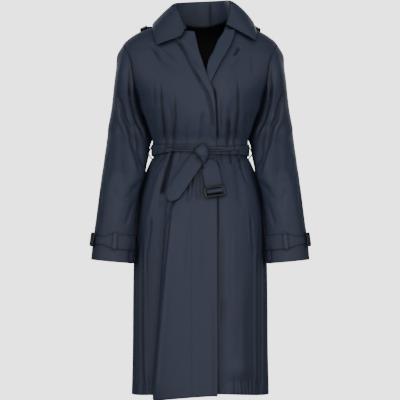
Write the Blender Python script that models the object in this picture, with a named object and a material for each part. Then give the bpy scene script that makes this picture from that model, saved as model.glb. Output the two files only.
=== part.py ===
"""A belted trench coat with a fly front, shirt collar and laid-back hood, hollow as it hangs when worn.

Metres, +Z up. The origin is on the neck's axis at the height of the neck points, where the shoulder seams
meet the collar. The front faces -Y, and +X is the wearer's left. Every cloth piece is a thin wall: its outer
skin is worked out from the section tables and fold tables below, and its inner skin lies one wall inside.
"""

import math

import bpy
import numpy as np

# Driving dimensions
WALL = 0.0016  # shell cloth with its facing or hem
COLLAR_WALL = 0.0022
BELT_WALL = 0.0024
LINING_WALL = 0.0012
LINING_GAP = 0.0010
BELT_GAP = 0.0010
KNOT_WALL = 0.0030
STRAP_WALL = 0.0016
STRAP_GAP = 0.0010
CUFF_STRAP_RISE = 0.0093
CUFF_BUCKLE_LIFT = 0.0078
BELT_LOOP_RADIUS = 0.0009
FACING_WALL = 0.0016
FACING_EASE = 0.0018  # the turned-back facing stands this much further off than its roll
SEAM_GAP = 0.0003
LAYER_GAP = 0.0005  # between cloths that lie on each other

NECK_HALF = 0.085  # neck point, out from the axis
BACK_NECK_DROP = 0.018  # the back neckline's dip below the neck points
SHOULDER_Z = -0.075  # outer end of the shoulder seam
UNDERARM_Z = -0.243
ARMHOLE_REACH = 0.070  # armhole's half width, seen from the side
HEM_Z = -1.123
HEM_RISE = 0.012  # how much higher the hem is at centre front

# Body sections from the neck down. front and back are depths from the side seam's plane;
# full squares the ring's corners, from 0 for an ellipse.
BODY_COLUMNS = ("height", "half_width", "front", "back", "full")
BODY = (
    (0.000, 0.085, 0.045, 0.062, 0.00),
    (-0.012, 0.114, 0.054, 0.074, 0.01),
    (-0.024, 0.142, 0.063, 0.084, 0.02),
    (-0.039, 0.180, 0.075, 0.094, 0.04),
    (-0.054, 0.206, 0.085, 0.101, 0.06),
    (-0.075, 0.229, 0.095, 0.108, 0.08),
    (-0.110, 0.239, 0.108, 0.115, 0.10),
    (-0.160, 0.231, 0.122, 0.121, 0.10),
    (-0.205, 0.209, 0.131, 0.122, 0.10),
    (-0.243, 0.184, 0.135, 0.120, 0.10),
    (-0.273, 0.1740, 0.134, 0.118, 0.10),
    (-0.303, 0.1640, 0.130, 0.115, 0.09),
    (-0.333, 0.1540, 0.123, 0.111, 0.07),
    (-0.372, 0.1415, 0.112, 0.106, 0.04),
    (-0.414, 0.1415, 0.111, 0.106, 0.04),
    (-0.432, 0.1505, 0.115, 0.111, 0.06),
    (-0.468, 0.1670, 0.124, 0.122, 0.07),
    (-0.500, 0.1780, 0.132, 0.132, 0.08),
    (-0.543, 0.1875, 0.141, 0.142, 0.08),
    (-0.633, 0.1945, 0.151, 0.149, 0.08),
    (-0.729, 0.1980, 0.157, 0.152, 0.08),
    (-0.960, 0.2005, 0.163, 0.155, 0.08),
    (-1.150, 0.2060, 0.168, 0.158, 0.08),
)

# The right front lies on top. Its edge, and the left front's edge under it, which becomes the roll line
# of the turned-back lapel above the break.
EDGE_COLUMNS = ("height", "right_edge", "left_edge")
FRONT_EDGES = (
    (-0.024, -0.0230, 0.0740),
    (-0.039, -0.0189, 0.0705),
    (-0.072, -0.0112, 0.0510),
    (-0.104, -0.0040, 0.0380),
    (-0.127, 0.0040, 0.0255),
    (-0.147, 0.0105, 0.0200),
    (-0.164, 0.0160, 0.0150),
    (-0.190, 0.0250, 0.0000),
    (-0.219, 0.0366, -0.0250),
    (-0.260, 0.0425, -0.0400),
    (-0.375, 0.0470, -0.0460),
    (-1.150, 0.0500, -0.0470),
)
RIGHT_NECK_Z = -0.043  # top of each front edge, where the neckline starts
LEFT_NECK_Z = -0.040

# Half necklines of the fronts: how far out the neckline is at each height
RIGHT_NECKLINE = ((-0.043, 0.0178), (-0.040, 0.0460), (-0.024, 0.0665), (-0.011, 0.0770), (0.0, 0.0850))
LEFT_NECKLINE = ((-0.040, 0.0702), (-0.024, 0.0770), (-0.011, 0.0815), (0.0, 0.0850))

OPEN_ABOVE_Z = -0.130  # above this the fronts don't cross
LEAST_OVERLAP = 0.030  # width kept for the overlap's columns where the fronts don't cross

# How the panels are divided: heights of their rows below the armhole and at the shoulder, and where a
# front's columns stand, as shares of the overlap and then of the way to its side seam
SKIRT_ROWS = (HEM_Z, -0.96, -0.80, -0.67, -0.57, -0.50, -0.455, -0.416)
BODICE_ROWS = (-0.372, -0.330, -0.285)
BELOW_ROWS = SKIRT_ROWS + BODICE_ROWS
FRONT_SHOULDER_ROWS = (-0.062, -0.050)
BACK_SHOULDER_ROWS = (-0.060, -0.046, -0.031)
OVERLAP_SHARES = (0.0, 0.12, 0.40, 0.70)
RIGHT_SHARES = (0.0, 0.15, 0.27, 0.36, 0.42, 0.48, 0.56, 0.67, 0.80, 0.90, 1.0)
LEFT_SHARES = (0.0, 0.10, 0.20, 0.30, 0.40, 0.50, 0.60, 0.70, 0.80, 0.90, 1.0)
BACK_COLUMNS = 9  # columns of half the back
LINING_COLUMNS = 6  # and how many of them its lining reaches

# Folds of the body: a line across the front or back from top to bottom, its width to either side
# (towards -X and +X), and how far it stands out, negative for a trough.
# Columns: face, x_top, z_top, x_bottom, z_bottom, minus, plus, out, fade
FOLDS = (
    # skirt front
    ("front", -0.090, -0.560, -0.134, -1.150, 0.010, 0.060, 0.012, 0.16),
    ("front", -0.108, -0.600, -0.155, -1.150, 0.022, 0.012, -0.012, 0.16),
    ("front", -0.088, -0.425, -0.122, -0.560, 0.009, 0.028, -0.007, 0.03),
    ("front", -0.112, -0.430, -0.160, -0.620, 0.012, 0.014, 0.004, 0.04),
    ("front", 0.070, -0.640, 0.066, -1.150, 0.012, 0.016, -0.005, 0.12),
    ("front", 0.108, -0.430, 0.120, -0.560, 0.014, 0.014, -0.004, 0.04),
    ("front", 0.120, -0.800, 0.118, -1.150, 0.020, 0.022, 0.005, 0.15),
    # skirt sides
    ("front", -0.176, -0.640, -0.176, -1.150, 0.012, 0.012, -0.007, 0.12),
    ("front", 0.177, -0.640, 0.178, -1.150, 0.012, 0.012, -0.007, 0.12),
    # bodice gathers above the belt
    ("front", -0.088, -0.270, -0.084, -0.368, 0.010, 0.010, -0.005, 0.05),
    ("front", -0.112, -0.290, -0.107, -0.368, 0.009, 0.009, -0.004, 0.05),
    ("front", 0.090, -0.270, 0.086, -0.368, 0.010, 0.010, -0.004, 0.05),
    ("front", 0.112, -0.290, 0.107, -0.368, 0.009, 0.009, -0.004, 0.05),
    # the right front's rolled edge at the open neck
    ("front", -0.0675, -0.065, -0.004, -0.150, 0.012, 0.010, -0.005, 0.03),
    ("front", -0.142, -0.085, -0.078, -0.160, 0.014, 0.014, -0.004, 0.03),
    # back, gathered by the belt like the front
    ("back", -0.060, -0.250, -0.052, -0.368, 0.012, 0.012, -0.005, 0.07),
    ("back", 0.060, -0.250, 0.052, -0.368, 0.012, 0.012, -0.005, 0.07),
    ("back", 0.000, -0.290, 0.000, -0.368, 0.012, 0.012, -0.004, 0.05),
    ("back", -0.056, -0.425, -0.078, -0.900, 0.016, 0.022, -0.008, 0.05),
    ("back", 0.056, -0.425, 0.078, -0.900, 0.022, 0.016, -0.008, 0.05),
    ("back", 0.000, -0.430, 0.004, -1.150, 0.030, 0.030, 0.008, 0.10),
    ("back", -0.120, -0.560, -0.134, -1.150, 0.022, 0.022, 0.008, 0.12),
    ("back", 0.120, -0.560, 0.134, -1.150, 0.022, 0.022, 0.008, 0.12),
)

# Left sleeve's sections from the upper arm to the cuff; the right sleeve mirrors them.
# Columns: x, y, z, half_width, half_depth, tilt
SLEEVE = (
    (0.2170, 0.026, -0.303, 0.0545, 0.0740, 5.0),
    (0.2133, 0.024, -0.340, 0.0632, 0.0740, 4.0),
    (0.2190, 0.008, -0.380, 0.0618, 0.0735, 4.0),
    (0.2240, -0.014, -0.429, 0.0640, 0.0720, 6.0),
    (0.2294, -0.036, -0.470, 0.0640, 0.0700, 7.0),
    (0.2392, -0.045, -0.513, 0.0597, 0.0680, 7.0),
    (0.2458, -0.048, -0.558, 0.0590, 0.0660, 7.0),
    (0.2506, -0.051, -0.603, 0.0598, 0.0640, 7.0),
    (0.2550, -0.054, -0.648, 0.0615, 0.0620, 6.5),
    (0.2586, -0.056, -0.693, 0.0636, 0.0610, 5.6),
    (0.2608, -0.058, -0.725, 0.0643, 0.0605, 5.2),
)
# Folds of a sleeve: turn from the underarm over the front, in degrees, and the section it runs from and to
# Columns: turn_top, row_top, turn_bottom, row_bottom, width, out
SLEEVE_FOLDS = (
    (118, 0.35, 72, 4.6, 0.012, -0.006),
    (92, 0.60, 50, 4.0, 0.012, 0.004),
    (64, 2.0, 20, 3.4, 0.010, -0.005),
    (58, 5.2, 16, 4.0, 0.010, -0.004),
    (236, 0.6, 280, 4.4, 0.014, -0.006),
    (300, 2.2, 338, 3.6, 0.011, -0.005),
)
ARM_POINTS = 8  # points on the armhole from underarm to shoulder, and so half a sleeve's ring

# Collar stations from the wearer's right front end round the back to the left one: the roll line, and the
# fall's outer edge with how far the fall arches up between them.
COLLAR_COLUMNS = ("roll_x", "roll_y", "roll_z", "edge_x", "edge_y", "edge_z", "arch")
COLLAR = (
    (-0.0447, -0.078, -0.0310, -0.1290, -0.1010, -0.0850, 0.003),
    (-0.0560, -0.068, -0.0080, -0.1360, -0.0780, -0.0600, 0.005),
    (-0.0700, -0.043, 0.0230, -0.1410, -0.0430, -0.0310, 0.004),
    (-0.0830, -0.005, 0.0390, -0.1430, 0.0050, -0.0180, 0.003),
    (-0.0770, 0.040, 0.0490, -0.1320, 0.0720, -0.0230, 0.005),
    (-0.0430, 0.076, 0.0555, -0.0750, 0.1270, -0.0360, 0.009),
    (0.0000, 0.088, 0.0585, 0.0000, 0.1380, -0.0400, 0.010),
    (0.0430, 0.077, 0.0595, 0.0800, 0.1270, -0.0360, 0.010),
    (0.0790, 0.040, 0.0580, 0.1400, 0.0720, -0.0240, 0.010),
    (0.0890, -0.008, 0.0515, 0.1600, 0.0000, -0.0210, 0.010),
    (0.0870, -0.040, 0.0180, 0.1650, -0.0400, -0.0350, 0.009),
    (0.0830, -0.056, -0.0060, 0.1660, -0.0680, -0.0520, 0.006),
    (0.0780, -0.062, -0.0220, 0.1630, -0.0850, -0.0700, 0.003),
)

COLLAR_STATIONS = 25
FALL_ROWS = (1.0, 0.74, 0.46, 0.2, 0.06, 0.0)  # from the edge up to the roll line
STAND_START_X = 0.0470  # the stand's ends on the right and left neckline
STAND_END_X = 0.0780
STAND_INSET = 0.0012
STAND_RISE = 0.0010

# Lapel: the free edge of the left front's turned-back strip
LAPEL_FREE = (
    (-0.036, 0.1020),
    (-0.050, 0.1005),
    (-0.080, 0.0912),
    (-0.107, 0.0770),
    (-0.127, 0.0650),
    (-0.159, 0.0480),
    (-0.186, 0.0350),
    (-0.219, 0.0230),
)
LAPEL_BOTTOM_Z = -0.219
ROLL_RADIUS = WALL / 2 + LAYER_GAP + FACING_WALL
LAPEL_ROOM = 0.0030  # between the lapel and the right front over it

# Hood, laid back on the shoulders: how far down the back its fold hangs at each distance from the middle
HOOD_COLUMNS = ("out", "top", "bottom", "swell")
HOOD = (
    (0.0003, -0.0400, -0.2850, 0.030),
    (0.0400, -0.0390, -0.2780, 0.029),
    (0.0800, -0.0360, -0.2520, 0.025),
    (0.1200, -0.0340, -0.2000, 0.018),
    (0.1500, -0.0390, -0.1450, 0.010),
    (0.1740, -0.0460, -0.0900, 0.003),
)
HOOD_GAP = 0.0050  # its inner layer's distance from the back
HOOD_SEAM_GAP = 0.0009  # and at its seam under the collar
HOOD_FOLD_RADIUS = 0.0035
HOOD_INNER = (0.0, 0.14, 0.32, 0.6, 0.96)  # rows of the inner layer, as shares of the way down
HOOD_OUTER = (0.98, 0.88, 0.68, 0.45, 0.24, 0.06)  # and of the outer layer, back up
HOOD_STATIONS = 8
STOPPER_ENDS = ((0.1600, 0.0100, -0.0262), (0.1755, 0.0100, -0.0345))
STOPPER_RADIUS = 0.0036

# Belt edges by angle round the waist: centre height and half width
BELT_COLUMNS = ("angle", "centre", "half")
BELT = (
    (-180, -0.3945, 0.0175),
    (-90, -0.3945, 0.0170),
    (-55, -0.3925, 0.0130),
    (-30, -0.3895, 0.0095),
    (-8, -0.3905, 0.0105),
    (12, -0.3975, 0.0105),
    (35, -0.3965, 0.0110),
    (90, -0.3945, 0.0175),
    (180, -0.3945, 0.0175),
)

# Thread loop at the side: out from the middle and up
BELT_LOOP = (
    (0.1440, -0.3690),
    (0.1490, -0.3790),
    (0.1530, -0.3890),
    (0.1550, -0.3960),
    (0.1530, -0.4030),
    (0.1500, -0.4120),
    (0.1485, -0.4200),
)

# Knot, from its bottom up: centre, height, half width, how far its face stands out, and its sides' lift.
# Its sides clear the belt's ends at the bottom and sit on the belt at the top.
# Columns: x, z, half, bulge, lift
KNOT = (
    (0.0105, -0.4270, 0.0090, 0.0070, 0.0070),
    (0.0090, -0.4210, 0.0130, 0.0110, 0.0070),
    (0.0055, -0.4120, 0.0180, 0.0135, 0.0070),
    (0.0020, -0.4010, 0.0215, 0.0155, 0.0045),
    (0.0030, -0.3900, 0.0180, 0.0150, 0.0037),
    (0.0050, -0.3810, 0.0115, 0.0105, 0.0037),
    (0.0060, -0.3750, 0.0070, 0.0055, 0.0039),
)
# Belt ends below the knot, from the low end up
# Columns: x, z, half, lift
PLAIN_TAIL = (
    (-0.0880, -0.5420, 0.0030, 0.0090),
    (-0.0835, -0.5350, 0.0120, 0.0090),
    (-0.0765, -0.5235, 0.0215, 0.0090),
    (-0.0560, -0.4930, 0.0215, 0.0085),
    (-0.0330, -0.4590, 0.0210, 0.0080),
    (-0.0160, -0.4340, 0.0175, 0.0075),
    (-0.0070, -0.4190, 0.0105, 0.0066),
    (-0.0030, -0.4110, 0.0050, 0.0060),
)
BUCKLE_TAIL = (
    (0.0340, -0.4800, 0.0240, 0.0120),
    (0.0305, -0.4630, 0.0236, 0.0120),
    (0.0265, -0.4470, 0.0220, 0.0115),
    (0.0215, -0.4400, 0.0180, 0.0105),
    (0.0130, -0.4330, 0.0062, 0.0085),
    (0.0105, -0.4250, 0.0044, 0.0070),
    (0.0095, -0.4170, 0.0040, 0.0065),
)
# The cloth's path round the buckle's middle bar: up along the tail and out from the buckle's plane
TAIL_END = (
    (0.0340, -0.0080),
    (0.0200, -0.0080),
    (0.0060, -0.0078),
    (-0.0020, -0.0068),
    (-0.0053, -0.0035),
    (-0.0053, 0.0018),
    (-0.0028, 0.0046),
    (0.0026, 0.0046),
    (0.0070, 0.0015),
    (0.0115, -0.0024),
    (0.0180, -0.0024),
)
BUCKLE_PLACE = (0.0410, -0.5200, 0.0135)  # x, z and lift of its middle
BUCKLE_LEAN = 10.0  # degrees
BUCKLE_SIZE = (0.062, 0.033, 0.0045, 0.0030)  # width, height, bar and thickness

# Cuff strap by turn round the sleeve: its middle as a section number, and its half width
STRAP_COLUMNS = ("turn", "middle", "half")
STRAP = (
    (0, 8.36, 0.0205),
    (76, 8.36, 0.0205),
    (96, 8.37, 0.0180),
    (116, 8.39, 0.0115),
    (140, 8.40, 0.0100),
    (200, 8.40, 0.0120),
    (250, 8.38, 0.0205),
    (360, 8.36, 0.0205),
)
SECTION_STEP = 0.045  # distance between the sections at the cuff
STRAP_MIDDLE = 8.36
STRAP_LOOP_TURN = 86
CUFF_LOOP_HALF_TURN = 4.8
CUFF_LOOP_PATH = (0.0270, 0.0235, 0.0205, 0.0, -0.0205, -0.0235, -0.0270)  # down the cuff, over the strap
CUFF_BUCKLE_TURN = 157.5
CUFF_BUCKLE_ROW = 8.40
CUFF_BUCKLE_SIZE = (0.025, 0.041, 0.0034, 0.0026)  # width, height, bar and thickness
BUCKLE_BAR_HALF = 0.0020  # half widths of the middle bars
CUFF_BAR_HALF = 0.0011

COLOURS = {
    "shell": ((0.036, 0.044, 0.068, 1.0), 0.55, 0.0),
    "lining": ((0.006, 0.006, 0.008, 1.0), 0.60, 0.0),
    "buckle": ((0.012, 0.014, 0.020, 1.0), 0.30, 0.0),
    "metal": ((0.55, 0.55, 0.57, 1.0), 0.25, 1.0),
}


# --- curves through tables -----------------------------------------------------------------------------


def through(known, values, at):
    """A smooth curve through the known values that never overshoots them, read at each place."""
    known, values, at = (np.asarray(a, float) for a in (known, values, at))
    if known[0] > known[-1]:
        known, values = known[::-1], values[::-1]
    step = np.diff(known)
    slope = np.diff(values) / step
    tangent = np.empty_like(values)
    tangent[0], tangent[-1] = slope[0], slope[-1]
    product = slope[:-1] * slope[1:]
    total = slope[:-1] + slope[1:]
    tangent[1:-1] = np.where(product > 0, 2 * product / np.where(total == 0, 1, total), 0)
    at = np.clip(at, known[0], known[-1])
    i = np.clip(np.searchsorted(known, at, side="right") - 1, 0, len(step) - 1)
    t = (at - known[i]) / step[i]
    a = (1 + 2 * t) * (1 - t) ** 2 * values[i] + t * (1 - t) ** 2 * step[i] * tangent[i]
    return a + t * t * (3 - 2 * t) * values[i + 1] + t * t * (t - 1) * step[i] * tangent[i + 1]


def column(table, columns, name, at, by=0):
    """One named column of a table, read at places along its column number by."""
    return through([row[by] for row in table], [row[columns.index(name)] for row in table], at)


def ease(t):
    t = np.clip(t, 0, 1)
    return t * t * (3 - 2 * t)


def unit(v):
    return v / np.maximum(np.linalg.norm(v, axis=-1, keepdims=True), 1e-12)


# --- the body's skin -----------------------------------------------------------------------------------


def body_size(z):
    return [column(BODY, BODY_COLUMNS, name, z) for name in BODY_COLUMNS[1:]]


def body_base(angle, z):
    """The body without folds. The angle runs from centre front towards the wearer's left."""
    angle, z = np.broadcast_arrays(np.asarray(angle, float), np.asarray(z, float))
    half_width, front, back, full = body_size(z)
    s, c = np.sin(angle), np.cos(angle)
    x = half_width * s * (1 + full * c * c)
    y = -np.where(c > 0, front, back) * c * (1 + full * s * s)
    return np.stack([x, y, z], -1)


def angle_of(share, full):
    """The angle whose sine, squared up by full, is this share of the half width."""
    share = np.clip(share, -0.9999, 0.9999)
    t = np.arcsin(share)
    for _ in range(6):
        s, c = np.sin(t), np.cos(t)
        slope = c * (1 + full * c * c) - 2 * full * s * s * c
        t = t - (s * (1 + full * c * c) - share) / np.maximum(slope, 0.05)
    return t


def angle_at(x, z, face="front"):
    """Where a point this far out from the middle lies round the ring at height z."""
    half_width, _, _, full = body_size(z)
    t = angle_of(np.asarray(x, float) / half_width, full)
    return t if face == "front" else np.pi - t


def angle_at_depth(y, z, face):
    """The angle on the left side where the ring is y in front of or behind the side seam."""
    _, front, back, full = body_size(z)
    t = angle_of(np.asarray(y, float) / (front if face == "front" else back), full)
    return np.pi / 2 - t if face == "front" else np.pi / 2 + t


def fold_height(angle, z):
    """How far the folds move the skin out at each place."""
    here = body_base(angle, z)
    out = np.zeros(here.shape[:-1])
    half_width = body_size(here[..., 2])[0]
    for face, x_top, z_top, x_bottom, z_bottom, minus, plus, height, fade in FOLDS:
        along = np.clip((z_top - here[..., 2]) / (z_top - z_bottom), 0, 1)
        x = np.clip(x_top + (x_bottom - x_top) * along, -0.97 * half_width, 0.97 * half_width)
        line = body_base(angle_at(x, here[..., 2], face), here[..., 2])
        gap = np.linalg.norm(here - line, axis=-1)
        width = np.where(here[..., 0] < x, minus, plus)
        start = ease((z_top + fade / 2 - here[..., 2]) / fade)
        end = ease((here[..., 2] - z_bottom + fade / 2) / fade)
        out += height * np.exp(-((gap / width) ** 2)) * start * end
    return out


def normal_of(surface, a, b, step_a=2e-3, step_b=4e-4):
    """The outward normal of surface(a, b), where a turns towards the wearer's left and b rises."""
    across = surface(a + step_a, b) - surface(a - step_a, b)
    up = surface(a, b + step_b) - surface(a, b - step_b)
    return unit(np.cross(across, up))


def body_skin(angle, z, lift=0.0):
    """A point of the worn coat's outer skin, folds included, moved out by lift."""
    angle, z = np.broadcast_arrays(np.asarray(angle, float), np.asarray(z, float))
    out = fold_height(angle, z) + lift
    return body_base(angle, z) + normal_of(body_base, angle, z) * out[..., None]


# --- solids --------------------------------------------------------------------------------------------


def material(slot):
    made = bpy.data.materials.get(slot)
    if made:
        return made
    made = bpy.data.materials.new(slot)
    made.use_nodes = True
    colour, roughness, metallic = COLOURS[slot]
    shader = made.node_tree.nodes["Principled BSDF"]
    shader.inputs["Base Color"].default_value = colour
    shader.inputs["Roughness"].default_value = roughness
    shader.inputs["Metallic"].default_value = metallic
    made.diffuse_color = colour
    return made


def add_mesh(name, points, faces, slot):
    mesh = bpy.data.meshes.new(name)
    mesh.from_pydata([tuple(p) for p in points], [], [tuple(f) for f in faces])
    mesh.validate()
    mesh.shade_smooth()
    mesh.set_sharp_from_angle(angle=math.radians(50))
    mesh.materials.append(material(slot))
    made = bpy.data.objects.new(name, mesh)
    bpy.context.scene.collection.objects.link(made)
    return made


def grid_faces(rows, columns, closed=False):
    """The triangles of a grid whose rows run across and up, facing out.

    Every cell is cut the same way, so that cloths which share their points lie flat on each other."""
    faces = []
    for r in range(rows - 1):
        for c in range(columns if closed else columns - 1):
            d = (c + 1) % columns
            low, high = r * columns, (r + 1) * columns
            faces.append((low + c, low + d, high + d))
            faces.append((low + c, high + d, high + c))
    return faces


def wall(name, points, normals, faces, thickness, slot="shell"):
    """A closed wall: the given skin, its copy one thickness inside, and a rim along every open edge."""
    points = np.asarray(points).reshape(-1, 3)
    inner = points - np.asarray(normals).reshape(-1, 3) * np.reshape(thickness, (-1, 1))
    count = len(points)
    edges = {}
    for face in faces:
        for a, b in zip(face, face[1:] + face[:1]):
            edges[(a, b)] = True
    rim = [(b, a, a + count, b + count) for a, b in edges if (b, a) not in edges]
    inside = [tuple(i + count for i in reversed(face)) for face in faces]
    return add_mesh(name, np.concatenate([points, inner]), list(faces) + inside + rim, slot)


def welded(points, normals, faces):
    """The same skin with points that coincide made one."""
    flat = points.reshape(-1, 3)
    _, first, index = np.unique(np.round(flat, 6), axis=0, return_index=True, return_inverse=True)
    index = index.reshape(-1)
    kept = [tuple(int(index[i]) for i in face) for face in faces]
    return flat[first], normals.reshape(-1, 3)[first], kept


# --- fronts and back -----------------------------------------------------------------------------------


def arm_height(turn):
    """Height on the armhole, from the underarm at turn 0 to the shoulder at half a turn."""
    middle, reach = (SHOULDER_Z + UNDERARM_Z) / 2, (SHOULDER_Z - UNDERARM_Z) / 2
    return middle - reach * np.cos(turn)


def armhole_depth(z):
    middle, reach = (SHOULDER_Z + UNDERARM_Z) / 2, (SHOULDER_Z - UNDERARM_Z) / 2
    return ARMHOLE_REACH * np.sqrt(np.clip(1 - ((z - middle) / reach) ** 2, 0, 1))


def side_angle(z, face):
    """A panel's edge on the left side: the side seam, then the armhole, then the shoulder seam."""
    inside = (z > UNDERARM_Z) & (z < SHOULDER_Z)
    depth = np.where(inside, armhole_depth(z), 0) + SEAM_GAP / 2
    return angle_at_depth(depth, z, face)


def row_heights(below, shoulder):
    """Heights of a panel's rows: the given ones, then the armhole's, then the shoulder seam's."""
    arm = arm_height(np.linspace(0, np.pi, ARM_POINTS + 1))
    return np.concatenate([np.asarray(below, float), arm, np.asarray(shoulder, float)])


def edge_x(z, name):
    return column(FRONT_EDGES, EDGE_COLUMNS, name, z)


def left_layer(x, z):
    """How far the left front lies in, to pass under the right front's edge."""
    under = np.clip((edge_x(z, "right_edge") + 0.046 - x) / 0.042, 0, 1)
    lapel = (FACING_WALL + LAPEL_ROOM) * ease((z - LAPEL_BOTTOM_Z + 0.045) / 0.04)
    crossed = ease((OPEN_ABOVE_Z - z) / 0.025)
    return -(WALL + LAYER_GAP + lapel) * under * crossed


def roll_room(z):
    """How far the left front's edge stops short of the roll line, where the facing wraps it."""
    return ROLL_RADIUS * (z > LAPEL_BOTTOM_Z - 0.001)


def hem_height(x, face, side="left"):
    """The hem's height across the coat: raised a little in front, lower where the right front swings out."""
    level = np.full_like(x, HEM_Z)
    if face != "front":
        return level
    level = level + HEM_RISE * (1 - (x / 0.206) ** 2)
    drop = 0.017 - 0.012 * np.clip((x + 0.131) / 0.181, 0, 1)
    return level - drop * ease((x + 0.145) / 0.014) * (side == "right")


def front_neck_x(side, z):
    neckline = LEFT_NECKLINE if side == "left" else RIGHT_NECKLINE
    return through([row[0] for row in neckline], [row[1] for row in neckline], z)


def overlap_span(z):
    return max(float(edge_x(z, "right_edge") - edge_x(z, "left_edge")), LEAST_OVERLAP)


def front_angles(side, z):
    """The angles of one row of a front's columns, from its free edge to its side seam.

    The right front's own side is mirrored, so its free edge lies past centre front at a negative angle."""
    left = side == "left"
    outer = side_angle(np.array(z), "front")
    right_edge, left_edge = edge_x(z, "right_edge"), edge_x(z, "left_edge")
    overlap = overlap_span(z)
    if z > (LEFT_NECK_Z if left else RIGHT_NECK_Z) + 1e-9:
        start = front_neck_x(side, z)
        span = min(overlap, 0.4 * (body_size(np.array(z))[0] - start))
    else:
        start, span = (left_edge + roll_room(z), overlap) if left else (-right_edge, overlap)
    across = np.array(OVERLAP_SHARES)
    if left:
        across = np.concatenate([[0], 1 - across[:0:-1]])
    overlap_angles = angle_at(start + span * across, z)
    rest = angle_at(start + span, z)
    shares = np.array(LEFT_SHARES if left else RIGHT_SHARES)
    return np.concatenate([overlap_angles, rest + (outer - rest) * shares])


def front_panel(side):
    """One front, as a grid from its free edge to its side seam."""
    left = side == "left"
    neckline = LEFT_NECKLINE if left else RIGHT_NECKLINE
    shoulder = [*FRONT_SHOULDER_ROWS, *(row[0] for row in neckline[:-1]), -0.003]
    heights = row_heights(BELOW_ROWS, shoulder)
    angles = np.array([front_angles(side, z) for z in heights])
    z = np.repeat(heights[:, None], angles.shape[1], 1)
    if not left:
        angles = -angles[:, ::-1]
    z[0] = hem_height(body_base(angles[0], z[0])[:, 0], "front", side)
    lift = left_layer(body_base(angles, z)[..., 0], z) if left else np.zeros_like(z)
    points = body_skin(angles, z, lift)
    normals = normal_of(body_skin, angles, z)
    return wall(f"{side}_front", points, normals, grid_faces(*angles.shape), WALL)


def back_neck_x(z):
    """How far out the back neckline is at height z."""
    return NECK_HALF * np.sqrt(np.clip((z + BACK_NECK_DROP) / BACK_NECK_DROP, 0, 1))


BACK_NECK_ROWS = tuple(-BACK_NECK_DROP * (1 - (i / 4) ** 2) for i in range(4)) + (-0.002,)


def half_back(side, lift=0.0, below=BELOW_ROWS, columns=BACK_COLUMNS):
    """Points, normals and faces of half the back, from the centre line or neckline out to the side.

    Fewer columns stop short of the side, on the same points."""
    heights = row_heights(below, BACK_SHOULDER_ROWS + BACK_NECK_ROWS)
    share = np.linspace(0, 1, BACK_COLUMNS)[:columns]
    middle = np.pi - angle_at(back_neck_x(heights), heights)
    outer = np.array([side_angle(np.array(z), "back") for z in heights])
    angles = middle[:, None] + (outer - middle)[:, None] * share
    z = np.repeat(heights[:, None], columns, 1)
    if side == "left":
        angles = angles[:, ::-1]
    else:
        angles = -angles
    points = body_skin(angles, z, lift)
    normals = normal_of(body_skin, angles, z)
    return points, normals, grid_faces(*angles.shape)


def back_panel(name, thickness, slot, **options):
    halves = [half_back(side, **options) for side in ("left", "right")]
    offset = halves[0][0].shape[0] * halves[0][0].shape[1]
    points = np.concatenate([h[0].reshape(-1, 3) for h in halves])
    normals = np.concatenate([h[1].reshape(-1, 3) for h in halves])
    faces = halves[0][2] + [tuple(i + offset for i in f) for f in halves[1][2]]
    points, normals, faces = welded(points, normals, faces)
    return wall(name, points, normals, faces, thickness, slot)


# --- sleeves -------------------------------------------------------------------------------------------


def sleeve_ring(turn, row):
    """A point of the sleeve's sections: turn 0 faces the body, a quarter turn the front."""
    rows = np.arange(len(SLEEVE))
    x, y, z, half_width, half_depth, tilt = (through(rows, [s[i] for s in SLEEVE], row) for i in range(6))
    tilt = np.radians(tilt)
    out, forward = -np.cos(turn) * half_width, np.sin(turn) * half_depth
    return np.stack([x + out * np.cos(tilt), y - forward, z + out * np.sin(tilt)], -1)


def armhole_ring(count=96):
    """The left armhole: its points on the body's skin, the normals there and the way to its middle."""
    turn = np.linspace(0, 2 * np.pi, count + 1)
    z = arm_height(turn)
    depth = ARMHOLE_REACH * np.abs(np.sin(turn))
    ahead_of_seam = np.sin(turn) >= 0
    angle = np.where(ahead_of_seam, angle_at_depth(depth, z, "front"), angle_at_depth(depth, z, "back"))
    points, normals = body_skin(angle, z), normal_of(body_skin, angle, z)
    ahead, behind = np.roll(points[:-1], -1, 0), np.roll(points[:-1], 1, 0)
    along = np.concatenate([ahead - behind, (ahead - behind)[:1]])
    inwards = unit(np.cross(normals, along))
    inwards = inwards * np.sign((inwards * (points.mean(0) - points)).sum(-1, keepdims=True))
    return turn, points, normals, inwards


ARMHOLE = armhole_ring()


def armhole(turn):
    """A point of the armhole, the body's normal there and the way in, from the underarm round the front."""
    known = ARMHOLE[0]
    turn = np.mod(turn, 2 * np.pi)
    return [np.stack([np.interp(turn, known, v[:, i]) for i in range(3)], -1) for v in ARMHOLE[1:]]


def leaving(turn):
    """The direction in which the sleeve leaves the armhole."""
    up = -np.cos(turn)
    side = np.sin(turn)
    return unit(np.stack([0.24 + 0.12 * up + 0.30 * side * side, -0.30 * side, -0.70 - 0.10 * up * up], -1))


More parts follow.
